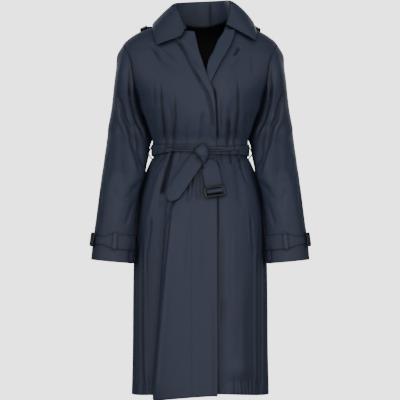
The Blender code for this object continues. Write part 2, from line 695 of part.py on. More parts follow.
def sleeve_base(turn, row):
    """The left sleeve without folds: row -1 is the armhole, row 0 the first section."""
    turn, row = np.broadcast_arrays(np.asarray(turn, float), np.asarray(row, float))
    below = sleeve_ring(turn, np.maximum(row, 0))
    start, body_normal, inwards = armhole(turn)
    away = leaving(turn)
    under = ease((np.cos(turn) - 0.2) / 0.4)[..., None]
    start = start + SEAM_GAP * (inwards + body_normal * under)
    end = sleeve_ring(turn, np.zeros_like(turn))
    heading = unit(sleeve_ring(turn, np.full_like(turn, 0.5)) - end)
    reach = np.linalg.norm(end - start, axis=-1, keepdims=True)
    t = np.clip(row + 1, 0, 1)[..., None]
    cap = (
        (1 + 2 * t) * (1 - t) ** 2 * start
        + t * (1 - t) ** 2 * reach * 1.1 * away
        + t * t * (3 - 2 * t) * end
        + t * t * (t - 1) * reach * 1.0 * heading
    )
    return np.where((row < 0)[..., None], cap, below)


def sleeve_fold_height(turn, row):
    out = np.zeros(np.broadcast(turn, row).shape)
    here = sleeve_base(turn, row)
    for turn_top, row_top, turn_bottom, row_bottom, width, height in SLEEVE_FOLDS:
        ends = sleeve_base(np.radians([turn_top, turn_bottom]), np.array([row_top, row_bottom]))
        run = ends[1] - ends[0]
        along = np.clip(((here - ends[0]) @ run) / (run @ run), 0, 1)
        turn_line = np.radians(turn_top + (turn_bottom - turn_top) * along)
        line = sleeve_base(turn_line, row_top + (row_bottom - row_top) * along)
        gap = np.linalg.norm(here - line, axis=-1)
        out += height * np.exp(-((gap / width) ** 2)) * ease(along / 0.25) * ease((1 - along) / 0.25)
    return out


def sleeve_normal(turn, row, surface=sleeve_base):
    """The outward normal of the left sleeve, whose turns run round the front and whose rows run down."""
    around = surface(turn + 2e-3, row) - surface(turn - 2e-3, row)
    down = surface(turn, np.minimum(row + 2e-3, len(SLEEVE) - 1)) - surface(turn, np.maximum(row - 2e-3, -1))
    return unit(np.cross(down, around))


def sleeve_skin(turn, row, lift=0.0):
    out = sleeve_fold_height(turn, row) + lift
    return sleeve_base(turn, row) + sleeve_normal(turn, row) * out[..., None]


SLEEVE_ROWS = (-1, -0.66, -0.36, 0, 1, 2, 3.2, 4.6, 6.2, 7.8, 9, 10)


def sleeve(side):
    turn = np.linspace(0, 2 * np.pi, 2 * ARM_POINTS, endpoint=False)
    turns, rows = np.meshgrid(turn, np.array(SLEEVE_ROWS, float))
    points = sleeve_skin(turns, rows)
    normals = sleeve_normal(turns, rows, sleeve_skin)
    body_normal = unit(armhole(turn)[1])
    outside = (normals[0] * body_normal).sum(-1, keepdims=True) > 0.1
    normals[0] = np.where(outside, body_normal, normals[0])
    if side == "right":
        points, normals = mirrored(points), mirrored(normals)
    faces = [f if side == "right" else tuple(reversed(f)) for f in grid_faces(*turns.shape, closed=True)]
    return wall(f"{side}_sleeve", points, normals, faces, WALL)


def mirrored(v):
    return v * np.array([-1.0, 1.0, 1.0])


# --- strips that lie on the coat -----------------------------------------------------------------------


def grid_normals(points):
    """Outward normals of a grid whose columns run across and whose rows run up."""
    return unit(np.cross(np.gradient(points, axis=1), np.gradient(points, axis=0)))


def grid_wall(name, points, thickness, slot="shell"):
    return wall(name, points, grid_normals(points), grid_faces(*points.shape[:2]), thickness, slot)


def laid(x, z, lift, face="front"):
    """A point over the body's skin, this far out from the middle and up."""
    return body_skin(angle_at(x, z, face), np.asarray(z, float), lift)


def hung(x, z, lift):
    """A point in front of the body's plain form, for what hangs free of its folds."""
    angle = angle_at(x, z)
    return body_base(angle, z) + normal_of(body_base, angle, z) * np.asarray(lift)[..., None]


def hung_strip(stations, columns):
    """A strip's grid from its low end up; a station is x, z, half width and lift of its centre line."""
    stations = np.array(stations)
    centre, half, lift = stations[:, :2], stations[:, 2:3], stations[:, 3:4]
    along = unit(np.gradient(centre, axis=0))
    across = np.stack([along[:, 1], -along[:, 0]], -1)
    share = np.linspace(-1, 1, columns)
    flat = centre[:, None] + across[:, None] * (half * share)[..., None]
    return hung(flat[..., 0], flat[..., 1], np.broadcast_to(lift, flat.shape[:2]))


def resampled(stations, count):
    """The same run of stations, drawn smoothly through them and read at even steps."""
    stations = np.array(stations, float)
    known = np.arange(len(stations))
    at = np.linspace(0, len(stations) - 1, count)
    return np.stack([through(known, column_values, at) for column_values in stations.T], -1)


def plate(name, centre, across, up, widths, heights, windows, thickness, slot="buckle"):
    """A flat frame: cells between the widths and heights, less the windows, cut from one thick plate."""
    out = np.cross(across, up)
    face = centre + out * thickness / 2
    points = np.array([[face + across * w + up * h for w in widths] for h in heights])
    faces = []
    columns = len(widths)
    for r in range(len(heights) - 1):
        for c in range(columns - 1):
            if (r, c) not in windows:
                first = r * columns + c
                faces.append((first, first + 1, first + columns + 1, first + columns))
    made = wall(name, points, np.broadcast_to(out, points.shape), faces, thickness, slot)
    return made


def tube(name, path, radius, sides, slot):
    """A round cord or rod along a path, closed at both ends."""
    path = np.array(path, float)
    along = unit(np.gradient(path, axis=0))
    side = unit(np.cross(along, np.array([0.3, 0.2, 0.93])))
    other = np.cross(along, side)
    turn = np.linspace(0, 2 * np.pi, sides, endpoint=False)
    ring = side[:, None] * np.cos(turn)[:, None] + other[:, None] * np.sin(turn)[:, None]
    radius = np.reshape(radius, (-1, 1, 1)) if np.ndim(radius) else radius
    points = (path[:, None] + ring * radius).reshape(-1, 3)
    faces = grid_faces(len(path), sides, closed=True)
    last = (len(path) - 1) * sides
    faces.append(tuple(reversed(range(sides))))
    faces.append(tuple(last + i for i in range(sides)))
    return add_mesh(name, points, faces, slot)


# --- facing, lining and hood ---------------------------------------------------------------------------


def left_facing():
    """The left front's facing, turned back over the front's edge as a narrow lapel."""
    rows = []
    heights = row_heights((), FRONT_SHOULDER_ROWS + (LEFT_NECK_Z - 0.0005,))
    for z in heights[heights > LAPEL_BOTTOM_Z - 0.001]:
        roll = float(edge_x(z, "left_edge")) + ROLL_RADIUS
        free = float(through([r[0] for r in LAPEL_FREE], [r[1] for r in LAPEL_FREE], z))
        middle = -WALL / 2
        inside = middle - ROLL_RADIUS - LAYER_GAP
        section = [(roll + 0.3 * overlap_span(z), inside), (roll + 0.003, inside)]
        for turn in np.radians((240, 180, 120)):
            section.append((roll + ROLL_RADIUS * np.cos(turn), middle + ROLL_RADIUS * np.sin(turn)))
        for x in (roll + 0.003, roll + 0.3 * overlap_span(z), roll + 0.6 * overlap_span(z), free):
            section.append((x, middle + ROLL_RADIUS + FACING_EASE))
        x, lift = np.array(section).T
        rows.append(laid(x, np.full_like(x, z), lift + left_layer(x, np.full_like(x, z))))
    return grid_wall("left_facing", np.array(rows), FACING_WALL)


def back_lining():
    """The dark lining of the upper back, seen through the open neck."""
    lift = -(WALL + LINING_GAP)
    return back_panel("back_lining", LINING_WALL, "lining", lift=lift, below=(), columns=LINING_COLUMNS)


def hood_grid(columns):
    """The left half of the laid-back hood: its inner layer down, the fold, its outer layer up."""
    out = np.linspace(HOOD[0][0], HOOD[-1][0], columns)
    top, bottom, swell = (column(HOOD, HOOD_COLUMNS, name, out) for name in HOOD_COLUMNS[1:])
    rows = []
    for share in HOOD_INNER:
        lift = HOOD_GAP if share else HOOD_SEAM_GAP
        rows.append(laid(out, top + (bottom - top) * share, lift, "back"))
    rows.append(laid(out, bottom - HOOD_FOLD_RADIUS, HOOD_GAP + HOOD_FOLD_RADIUS, "back"))
    for share in HOOD_OUTER:
        bulge = swell * np.sin(np.pi * share) ** 0.8 + 0.35 * swell * (1 - share)
        rows.append(laid(out, top + (bottom - top) * share, HOOD_GAP + 2 * HOOD_FOLD_RADIUS + bulge, "back"))
    return np.array(rows)


def hood_half(side):
    points = hood_grid(HOOD_STATIONS)
    normals = -grid_normals(points)
    faces = [tuple(reversed(f)) for f in grid_faces(*points.shape[:2])]
    if side == "right":
        points, normals = mirrored(points), mirrored(normals)
        faces = [tuple(reversed(f)) for f in faces]
    return wall(f"hood_{side}", points, normals, faces, WALL)


# --- collar --------------------------------------------------------------------------------------------


def collar_table(count):
    at = np.linspace(0, len(COLLAR) - 1, count)
    known = np.arange(len(COLLAR))
    return [through(known, [row[i] for row in COLLAR], at) for i in range(len(COLLAR_COLUMNS))]


def collar_fall():
    """The collar's outer leaf, from the roll line down to its free edge."""
    table = collar_table(COLLAR_STATIONS)
    roll, edge, arch = np.stack(table[:3], -1), np.stack(table[3:6], -1), table[6]
    run = unit(np.gradient(roll, axis=0))
    down = edge - roll
    out = unit(np.cross(down, run))
    from_neck = roll * np.array([1, 1, 0]) + np.array([0, 0, 0.02])
    out = out * np.sign((out * from_neck).sum(-1, keepdims=True))
    rows = []
    for share in FALL_ROWS:
        bulge = arch * (4 * share * (1 - share)) ** 0.7
        rows.append(roll + down * share + out * bulge[:, None])
    return grid_wall("collar_fall", np.array(rows), COLLAR_WALL)


def neckline(count):
    """The panels' top edges from the right front round the back to the left front, at even steps."""
    table = np.array(RIGHT_NECKLINE)
    start = np.linspace(STAND_START_X, NECK_HALF, 12)
    right = laid(-start, through(table[:, 1], table[:, 0], start), 0.0)
    table = np.array(LEFT_NECKLINE)
    end = np.linspace(NECK_HALF, STAND_END_X, 12)
    left = laid(end, through(table[:, 1], table[:, 0], end), 0.0)
    turn = np.radians(np.linspace(-90, 90, 25)[1:-1])
    x = NECK_HALF * np.sin(turn)
    back = laid(x, -BACK_NECK_DROP * np.cos(turn) ** 2, 0.0, "back")
    points = np.concatenate([right, back, left])
    length = np.concatenate([[0], np.cumsum(np.linalg.norm(np.diff(points, axis=0), axis=-1))])
    at = np.linspace(0, length[-1], count)
    return np.stack([np.interp(at, length, points[:, i]) for i in range(3)], -1)


def collar_stand():
    """The band that holds the collar up, from the neckline to just under the roll line."""
    roll_x, roll_y, roll_z = collar_table(COLLAR_STATIONS)[:3]
    base = neckline(COLLAR_STATIONS)
    inwards = unit(np.stack([-base[:, 0], 0.01 - base[:, 1], 0 * base[:, 0]], -1))
    base = base + inwards * STAND_INSET + np.array([0, 0, STAND_RISE])
    top = np.stack([roll_x, roll_y, roll_z], -1)
    top = top + unit(np.stack([-roll_x, 0.01 - roll_y, 0 * roll_x], -1)) * (COLLAR_WALL + 0.001)
    rows = [base + (top - base) * share for share in (0, 0.33, 0.66, 1)]
    return grid_wall("collar_stand", np.array(rows), COLLAR_WALL)


# --- belt ----------------------------------------------------------------------------------------------


def belt_band():
    """The belt round the waist, gathered narrower towards the knot."""
    angle = np.linspace(-180, 180, 36, endpoint=False)
    centre, half = (column(BELT, BELT_COLUMNS, name, angle) for name in ("centre", "half"))
    rows = []
    for share, lift in ((-1, 0.0), (0, 0.0007), (1, 0.0)):
        rows.append(body_skin(np.radians(angle), centre + half * share, BELT_GAP + BELT_WALL + lift))
    points = np.array(rows)
    wrapped = np.concatenate([points[:, -1:], points, points[:, :1]], 1)
    normals = grid_normals(wrapped)[:, 1:-1]
    return wall("belt_band", points, normals, grid_faces(*points.shape[:2], closed=True), BELT_WALL)


def belt_knot():
    """The knot's outer turn of cloth, domed over the crossing of the belt."""
    rows = []
    turn = np.radians(np.linspace(-84, 84, 7))
    for x, z, half, bulge, lift in KNOT:
        across = x + half * np.sin(turn)
        rows.append(hung(across, np.full_like(across, z), lift + bulge * np.cos(turn)))
    return grid_wall("belt_knot", np.array(rows), KNOT_WALL)


def belt_tail_plain():
    return grid_wall("belt_tail_plain", hung_strip(resampled(PLAIN_TAIL, 10), 4), BELT_WALL)


def buckle_axes():
    x, z, lift = BUCKLE_PLACE
    centre = hung(np.array(x), np.array(z), np.array(lift))
    out = unit(hung(np.array(x), np.array(z), np.array(lift + 0.01)) - centre)
    lean = math.radians(BUCKLE_LEAN)
    across = np.array([math.cos(lean), 0, math.sin(lean)])
    across = unit(across - out * (across @ out))
    return centre, across, np.cross(out, across), out


def belt_tail_buckle():
    """The belt's other end: down from the knot, behind the buckle's top bar and round its middle bar."""
    centre, across, up, out = buckle_axes()
    half = BUCKLE_TAIL[0][2]
    share = np.linspace(-1, 1, 4)
    loop = [centre + across[None] * (half * share)[:, None] + up * v + out * n for v, n in TAIL_END]
    strip = hung_strip(resampled(BUCKLE_TAIL, 7), 4)
    points = np.concatenate([np.array(loop), strip])
    return grid_wall("belt_tail_buckle", points, BELT_WALL)


def belt_buckle():
    width, height, bar, thickness = BUCKLE_SIZE
    centre, across, up, _ = buckle_axes()
    widths = (-width / 2, -width / 2 + bar, width / 2 - bar, width / 2)
    middle = (-BUCKLE_BAR_HALF, BUCKLE_BAR_HALF)
    heights = (-height / 2, -height / 2 + bar, *middle, height / 2 - bar, height / 2)
    return plate("belt_buckle", centre, across, up, widths, heights, ((1, 1), (3, 1)), thickness)


def belt_loop(side):
    """A thread loop that stands out from the side seam and holds the belt."""
    sign = 1 if side == "left" else -1
    path = [(sign * x, 0.0, z) for x, z in BELT_LOOP]
    return tube(f"belt_loop_{side}", path, BELT_LOOP_RADIUS, 5, "shell")


# --- cuffs ---------------------------------------------------------------------------------------------


def strap_lift(turn):
    """The strap lies on the sleeve, and rises over the cuff buckle's middle bar."""
    gap = np.abs(turn - CUFF_BUCKLE_TURN)
    return STRAP_GAP + STRAP_WALL + CUFF_STRAP_RISE * ease((6.6 - gap) / 4.8)


RING_STEP = 180 / ARM_POINTS
NEAR_BUCKLE = (8.0, 5.5, 3.0, 1.4)  # degrees either side of the cuff buckle's middle
STRAP_TURNS = sorted(
    [RING_STEP * i for i in range(2 * ARM_POINTS)]
    + [STRAP_LOOP_TURN, 90, 115]
    + [CUFF_BUCKLE_TURN + sign * t for t in NEAR_BUCKLE for sign in (-1, 1)]
)


def cuff_strap(side):
    turn = np.array(STRAP_TURNS)
    middle, half = (column(STRAP, STRAP_COLUMNS, name, turn) for name in ("middle", "half"))
    rows = []
    for share in (1, -1):
        rows.append(sleeve_skin(np.radians(turn), middle + share * half / SECTION_STEP, strap_lift(turn)))
    points = np.array(rows)
    wrapped = np.concatenate([points[:, -1:], points, points[:, :1]], 1)
    normals = grid_normals(wrapped)[:, 1:-1]
    faces = grid_faces(*points.shape[:2], closed=True)
    return sided(f"cuff_strap_{side}", side, points, normals, faces, STRAP_WALL)


def sided(name, side, points, normals, faces, thickness, slot="shell"):
    """A wall modelled on the left, mirrored for the right."""
    if side == "right":
        points, normals = mirrored(points), mirrored(normals)
        faces = [tuple(reversed(f)) for f in faces]
    return wall(name, points, normals, faces, thickness, slot)


def cuff_loop(side):
    """The narrow loop that keeps the strap on the cuff."""
    rows = []
    under = STRAP_GAP + STRAP_WALL
    over = under + LAYER_GAP + STRAP_WALL
    turn = np.radians(STRAP_LOOP_TURN + np.array((-1, 0, 1)) * CUFF_LOOP_HALF_TURN)
    for along, lift in zip(CUFF_LOOP_PATH, (under, under, over, over, over, under, under)):
        rows.append(sleeve_skin(turn, np.full(3, STRAP_MIDDLE + along / SECTION_STEP), lift))
    points = np.array(rows)
    faces = grid_faces(*points.shape[:2])
    return sided(f"cuff_loop_{side}", side, points, grid_normals(points), faces, STRAP_WALL)


def cuff_buckle(side):
    width, height, bar, thickness = CUFF_BUCKLE_SIZE
    turn, row = math.radians(CUFF_BUCKLE_TURN), CUFF_BUCKLE_ROW
    centre = sleeve_skin(turn, row, CUFF_BUCKLE_LIFT)
    across = unit(sleeve_skin(turn + 0.05, row) - sleeve_skin(turn - 0.05, row))
    up = unit(sleeve_skin(turn, row - 0.2) - sleeve_skin(turn, row + 0.2))
    up = unit(up - across * (across @ up))
    if side == "right":
        centre, across, up = mirrored(centre), -mirrored(across), mirrored(up)
    widths = (-width / 2, -width / 2 + bar, -CUFF_BAR_HALF, CUFF_BAR_HALF, width / 2 - bar, width / 2)
    heights = (-height / 2, -height / 2 + bar, height / 2 - bar, height / 2)
    return plate(f"cuff_buckle_{side}", centre, across, up, widths, heights, ((1, 1), (1, 3)), thickness)


def hood_stopper(side):
    """A metal cord end at the hood's front corner."""
    sign = 1 if side == "left" else -1
    start, end = (np.array((sign * x, y, z)) for x, y, z in STOPPER_ENDS)
    path = [start + (end - start) * t for t in (0, 0.12, 0.5, 0.88, 1)]
    radius = STOPPER_RADIUS * np.array((0.7, 1, 0.85, 1, 0.7))
    return tube(f"hood_stopper_{side}", path, radius, 8, "metal")


def clear_scene():
    for made in list(bpy.data.objects):
        bpy.data.objects.remove(made, do_unlink=True)


def main():
    clear_scene()
    belt_band()
    belt_knot()
    belt_tail_plain()
    belt_tail_buckle()
    belt_buckle()
    for side in ("left", "right"):
        belt_loop(side)
        cuff_strap(side)
        cuff_loop(side)
        cuff_buckle(side)
        hood_stopper(side)
    left_facing()
    back_lining()
    hood_half("left")
    hood_half("right")
    collar_fall()
    collar_stand()
    front_panel("right")
    front_panel("left")
    back_panel("back", WALL, "shell")
    sleeve("left")
    sleeve("right")


main()
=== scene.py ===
"""The looks of the hooded trench coat, as fine cloth on the forms of its solids.

Metres, +Z up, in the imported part's own frame. The sizes and tables repeat the part's own, and finer folds,
stitching, rounded edges and cloth materials are added to them here.
"""

import functools
import math

import bpy
import numpy as np
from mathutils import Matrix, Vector


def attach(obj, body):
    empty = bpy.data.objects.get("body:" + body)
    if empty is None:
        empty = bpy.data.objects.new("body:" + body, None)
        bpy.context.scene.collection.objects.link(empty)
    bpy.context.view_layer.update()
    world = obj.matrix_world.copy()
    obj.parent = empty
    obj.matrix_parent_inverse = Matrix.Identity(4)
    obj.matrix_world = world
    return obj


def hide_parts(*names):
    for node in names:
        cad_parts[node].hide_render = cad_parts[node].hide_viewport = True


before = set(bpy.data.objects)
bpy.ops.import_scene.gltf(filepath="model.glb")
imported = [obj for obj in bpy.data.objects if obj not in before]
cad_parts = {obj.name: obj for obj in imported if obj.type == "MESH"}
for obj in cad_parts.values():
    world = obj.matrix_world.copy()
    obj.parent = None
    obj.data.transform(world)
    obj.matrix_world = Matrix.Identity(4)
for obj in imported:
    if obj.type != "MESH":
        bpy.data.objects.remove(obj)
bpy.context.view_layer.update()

# Driving dimensions
WALL = 0.0016  # shell cloth with its facing or hem
COLLAR_WALL = 0.0022
BELT_WALL = 0.0024
LINING_WALL = 0.0012
LINING_GAP = 0.0010
BELT_GAP = 0.0010
KNOT_WALL = 0.0030
STRAP_WALL = 0.0016
STRAP_GAP = 0.0010
CUFF_STRAP_RISE = 0.0093
CUFF_BUCKLE_LIFT = 0.0078
FACING_WALL = 0.0016
FACING_EASE = 0.0018  # the turned-back facing stands this much further off than its roll
SEAM_GAP = 0.0003
LAYER_GAP = 0.0005  # between cloths that lie on each other

NECK_HALF = 0.085  # neck point, out from the axis
BACK_NECK_DROP = 0.018  # the back neckline's dip below the neck points
SHOULDER_Z = -0.075  # outer end of the shoulder seam
UNDERARM_Z = -0.243
ARMHOLE_REACH = 0.070  # armhole's half width, seen from the side
HEM_Z = -1.123
HEM_RISE = 0.012  # how much higher the hem is at centre front

# Body sections from the neck down. front and back are depths from the side seam's plane;
# full squares the ring's corners, from 0 for an ellipse.
BODY_COLUMNS = ("height", "half_width", "front", "back", "full")
BODY = (
    (0.000, 0.085, 0.045, 0.062, 0.00),
    (-0.012, 0.114, 0.054, 0.074, 0.01),
    (-0.024, 0.142, 0.063, 0.084, 0.02),
    (-0.039, 0.180, 0.075, 0.094, 0.04),
    (-0.054, 0.206, 0.085, 0.101, 0.06),
    (-0.075, 0.229, 0.095, 0.108, 0.08),
    (-0.110, 0.239, 0.108, 0.115, 0.10),
    (-0.160, 0.231, 0.122, 0.121, 0.10),
    (-0.205, 0.209, 0.131, 0.122, 0.10),
    (-0.243, 0.184, 0.135, 0.120, 0.10),
    (-0.273, 0.1740, 0.134, 0.118, 0.10),
    (-0.303, 0.1640, 0.130, 0.115, 0.09),
    (-0.333, 0.1540, 0.123, 0.111, 0.07),
    (-0.372, 0.1415, 0.112, 0.106, 0.04),
    (-0.414, 0.1415, 0.111, 0.106, 0.04),
    (-0.432, 0.1505, 0.115, 0.111, 0.06),
    (-0.468, 0.1670, 0.124, 0.122, 0.07),
    (-0.500, 0.1780, 0.132, 0.132, 0.08),
    (-0.543, 0.1875, 0.141, 0.142, 0.08),
    (-0.633, 0.1945, 0.151, 0.149, 0.08),
    (-0.729, 0.1980, 0.157, 0.152, 0.08),
    (-0.960, 0.2005, 0.163, 0.155, 0.08),
    (-1.150, 0.2060, 0.168, 0.158, 0.08),
)

# The right front lies on top. Its edge, and the left front's edge under it, which becomes the roll line
# of the turned-back lapel above the break.
EDGE_COLUMNS = ("height", "right_edge", "left_edge")
FRONT_EDGES = (
    (-0.024, -0.0230, 0.0740),
    (-0.039, -0.0189, 0.0705),
    (-0.072, -0.0112, 0.0510),
    (-0.104, -0.0040, 0.0380),
    (-0.127, 0.0040, 0.0255),
    (-0.147, 0.0105, 0.0200),
    (-0.164, 0.0160, 0.0150),
    (-0.190, 0.0250, 0.0000),
    (-0.219, 0.0366, -0.0250),
    (-0.260, 0.0425, -0.0400),
    (-0.375, 0.0470, -0.0460),
    (-1.150, 0.0500, -0.0470),
)
RIGHT_NECK_Z = -0.043  # top of each front edge, where the neckline starts
LEFT_NECK_Z = -0.040

# Half necklines of the fronts: how far out the neckline is at each height
RIGHT_NECKLINE = ((-0.043, 0.0178), (-0.040, 0.0460), (-0.024, 0.0665), (-0.011, 0.0770), (0.0, 0.0850))
LEFT_NECKLINE = ((-0.040, 0.0702), (-0.024, 0.0770), (-0.011, 0.0815), (0.0, 0.0850))

OPEN_ABOVE_Z = -0.130  # above this the fronts don't cross
LEAST_OVERLAP = 0.030  # width kept for the overlap's columns where the fronts don't cross

LINING_REACH = 0.625  # share of the way from the middle of the back to its side that the lining reaches

# Folds of the body: a line across the front or back from top to bottom, its width to either side
# (towards -X and +X), and how far it stands out, negative for a trough.
# Columns: face, x_top, z_top, x_bottom, z_bottom, minus, plus, out, fade
FOLDS = (
    # skirt front
    ("front", -0.090, -0.560, -0.134, -1.150, 0.010, 0.060, 0.012, 0.16),
    ("front", -0.108, -0.600, -0.155, -1.150, 0.022, 0.012, -0.012, 0.16),
    ("front", -0.088, -0.425, -0.122, -0.560, 0.009, 0.028, -0.007, 0.03),
    ("front", -0.112, -0.430, -0.160, -0.620, 0.012, 0.014, 0.004, 0.04),
    ("front", 0.070, -0.640, 0.066, -1.150, 0.012, 0.016, -0.005, 0.12),
    ("front", 0.108, -0.430, 0.120, -0.560, 0.014, 0.014, -0.004, 0.04),
    ("front", 0.120, -0.800, 0.118, -1.150, 0.020, 0.022, 0.005, 0.15),
    # skirt sides
    ("front", -0.176, -0.640, -0.176, -1.150, 0.012, 0.012, -0.007, 0.12),
    ("front", 0.177, -0.640, 0.178, -1.150, 0.012, 0.012, -0.007, 0.12),
    # bodice gathers above the belt
    ("front", -0.088, -0.270, -0.084, -0.368, 0.010, 0.010, -0.005, 0.05),
    ("front", -0.112, -0.290, -0.107, -0.368, 0.009, 0.009, -0.004, 0.05),
    ("front", 0.090, -0.270, 0.086, -0.368, 0.010, 0.010, -0.004, 0.05),
    ("front", 0.112, -0.290, 0.107, -0.368, 0.009, 0.009, -0.004, 0.05),
    # the right front's rolled edge at the open neck
    ("front", -0.0675, -0.065, -0.004, -0.150, 0.012, 0.010, -0.005, 0.03),
    ("front", -0.142, -0.085, -0.078, -0.160, 0.014, 0.014, -0.004, 0.03),
    # back, gathered by the belt like the front
    ("back", -0.060, -0.250, -0.052, -0.368, 0.012, 0.012, -0.005, 0.07),
    ("back", 0.060, -0.250, 0.052, -0.368, 0.012, 0.012, -0.005, 0.07),
    ("back", 0.000, -0.290, 0.000, -0.368, 0.012, 0.012, -0.004, 0.05),
    ("back", -0.056, -0.425, -0.078, -0.900, 0.016, 0.022, -0.008, 0.05),
    ("back", 0.056, -0.425, 0.078, -0.900, 0.022, 0.016, -0.008, 0.05),
    ("back", 0.000, -0.430, 0.004, -1.150, 0.030, 0.030, 0.008, 0.10),
    ("back", -0.120, -0.560, -0.134, -1.150, 0.022, 0.022, 0.008, 0.12),
    ("back", 0.120, -0.560, 0.134, -1.150, 0.022, 0.022, 0.008, 0.12),
)

# Left sleeve's sections from the upper arm to the cuff; the right sleeve mirrors them.
# Columns: x, y, z, half_width, half_depth, tilt
SLEEVE = (
    (0.2170, 0.026, -0.303, 0.0545, 0.0740, 5.0),
    (0.2133, 0.024, -0.340, 0.0632, 0.0740, 4.0),
    (0.2190, 0.008, -0.380, 0.0618, 0.0735, 4.0),
    (0.2240, -0.014, -0.429, 0.0640, 0.0720, 6.0),
    (0.2294, -0.036, -0.470, 0.0640, 0.0700, 7.0),
    (0.2392, -0.045, -0.513, 0.0597, 0.0680, 7.0),
    (0.2458, -0.048, -0.558, 0.0590, 0.0660, 7.0),
    (0.2506, -0.051, -0.603, 0.0598, 0.0640, 7.0),
    (0.2550, -0.054, -0.648, 0.0615, 0.0620, 6.5),
    (0.2586, -0.056, -0.693, 0.0636, 0.0610, 5.6),
    (0.2608, -0.058, -0.725, 0.0643, 0.0605, 5.2),
)
# Folds of a sleeve: turn from the underarm over the front, in degrees, and the section it runs from and to
# Columns: turn_top, row_top, turn_bottom, row_bottom, width, out
SLEEVE_FOLDS = (
    (118, 0.35, 72, 4.6, 0.012, -0.006),
    (92, 0.60, 50, 4.0, 0.012, 0.004),
    (64, 2.0, 20, 3.4, 0.010, -0.005),
    (58, 5.2, 16, 4.0, 0.010, -0.004),
    (236, 0.6, 280, 4.4, 0.014, -0.006),
    (300, 2.2, 338, 3.6, 0.011, -0.005),
)

# Collar stations from the wearer's right front end round the back to the left one: the roll line, and the
# fall's outer edge with how far the fall arches up between them.
COLLAR_COLUMNS = ("roll_x", "roll_y", "roll_z", "edge_x", "edge_y", "edge_z", "arch")
COLLAR = (
    (-0.0447, -0.078, -0.0310, -0.1290, -0.1010, -0.0850, 0.003),
    (-0.0560, -0.068, -0.0080, -0.1360, -0.0780, -0.0600, 0.005),
    (-0.0700, -0.043, 0.0230, -0.1410, -0.0430, -0.0310, 0.004),
    (-0.0830, -0.005, 0.0390, -0.1430, 0.0050, -0.0180, 0.003),
    (-0.0770, 0.040, 0.0490, -0.1320, 0.0720, -0.0230, 0.005),
    (-0.0430, 0.076, 0.0555, -0.0750, 0.1270, -0.0360, 0.009),
    (0.0000, 0.088, 0.0585, 0.0000, 0.1380, -0.0400, 0.010),
    (0.0430, 0.077, 0.0595, 0.0800, 0.1270, -0.0360, 0.010),
    (0.0790, 0.040, 0.0580, 0.1400, 0.0720, -0.0240, 0.010),
    (0.0890, -0.008, 0.0515, 0.1600, 0.0000, -0.0210, 0.010),
    (0.0870, -0.040, 0.0180, 0.1650, -0.0400, -0.0350, 0.009),
    (0.0830, -0.056, -0.0060, 0.1660, -0.0680, -0.0520, 0.006),
    (0.0780, -0.062, -0.0220, 0.1630, -0.0850, -0.0700, 0.003),
)
STAND_START_X = 0.0470  # the stand's ends on the right and left neckline
STAND_END_X = 0.0780
STAND_INSET = 0.0012
STAND_RISE = 0.0010

# Lapel: the free edge of the left front's turned-back strip
LAPEL_FREE = (
    (-0.036, 0.1020),
    (-0.050, 0.1005),
    (-0.080, 0.0912),
    (-0.107, 0.0770),
    (-0.127, 0.0650),
    (-0.159, 0.0480),
    (-0.186, 0.0350),
    (-0.219, 0.0230),
)
LAPEL_BOTTOM_Z = -0.219
ROLL_RADIUS = WALL / 2 + LAYER_GAP + FACING_WALL
LAPEL_ROOM = 0.0030  # between the lapel and the right front over it

# Hood, laid back on the shoulders: how far down the back its fold hangs at each distance from the middle
HOOD_COLUMNS = ("out", "top", "bottom", "swell")
HOOD = (
    (0.0003, -0.0400, -0.2850, 0.030),
    (0.0400, -0.0390, -0.2780, 0.029),
    (0.0800, -0.0360, -0.2520, 0.025),
    (0.1200, -0.0340, -0.2000, 0.018),
    (0.1500, -0.0390, -0.1450, 0.010),
    (0.1740, -0.0460, -0.0900, 0.003),
)
HOOD_GAP = 0.0050  # its inner layer's distance from the back
HOOD_SEAM_GAP = 0.0009  # and at its seam under the collar
HOOD_FOLD_RADIUS = 0.0035
STOPPER_ENDS = ((0.1600, 0.0100, -0.0262), (0.1755, 0.0100, -0.0345))
STOPPER_RADIUS = 0.0036

# Belt edges by angle round the waist: centre height and half width
BELT_COLUMNS = ("angle", "centre", "half")
BELT = (
    (-180, -0.3945, 0.0175),
    (-90, -0.3945, 0.0170),
    (-55, -0.3925, 0.0130),
    (-30, -0.3895, 0.0095),
    (-8, -0.3905, 0.0105),
    (12, -0.3975, 0.0105),
    (35, -0.3965, 0.0110),
    (90, -0.3945, 0.0175),
    (180, -0.3945, 0.0175),
)

# The belt's end with the buckle, from its low end up to the knot: x, z, half width and lift off the coat
BUCKLE_TAIL = (
    (0.0340, -0.4800, 0.0240, 0.0120),
    (0.0305, -0.4630, 0.0236, 0.0120),
    (0.0265, -0.4470, 0.0220, 0.0115),
    (0.0215, -0.4400, 0.0180, 0.0105),
    (0.0130, -0.4330, 0.0062, 0.0085),
    (0.0105, -0.4250, 0.0044, 0.0070),
    (0.0095, -0.4170, 0.0040, 0.0065),
)
# The cloth's path round the buckle's middle bar: up along the tail and out from the buckle's plane
TAIL_END = (
    (0.0340, -0.0080),
    (0.0200, -0.0080),
    (0.0060, -0.0078),
    (-0.0020, -0.0068),
    (-0.0053, -0.0035),
    (-0.0053, 0.0018),
    (-0.0028, 0.0046),
    (0.0026, 0.0046),
    (0.0070, 0.0015),
    (0.0115, -0.0024),
    (0.0180, -0.0024),
)
BUCKLE_PLACE = (0.0410, -0.5200, 0.0135)  # x, z and lift of its middle
BUCKLE_LEAN = 10.0  # degrees
BUCKLE_SIZE = (0.062, 0.033, 0.0045, 0.0030)  # width, height, bar and thickness

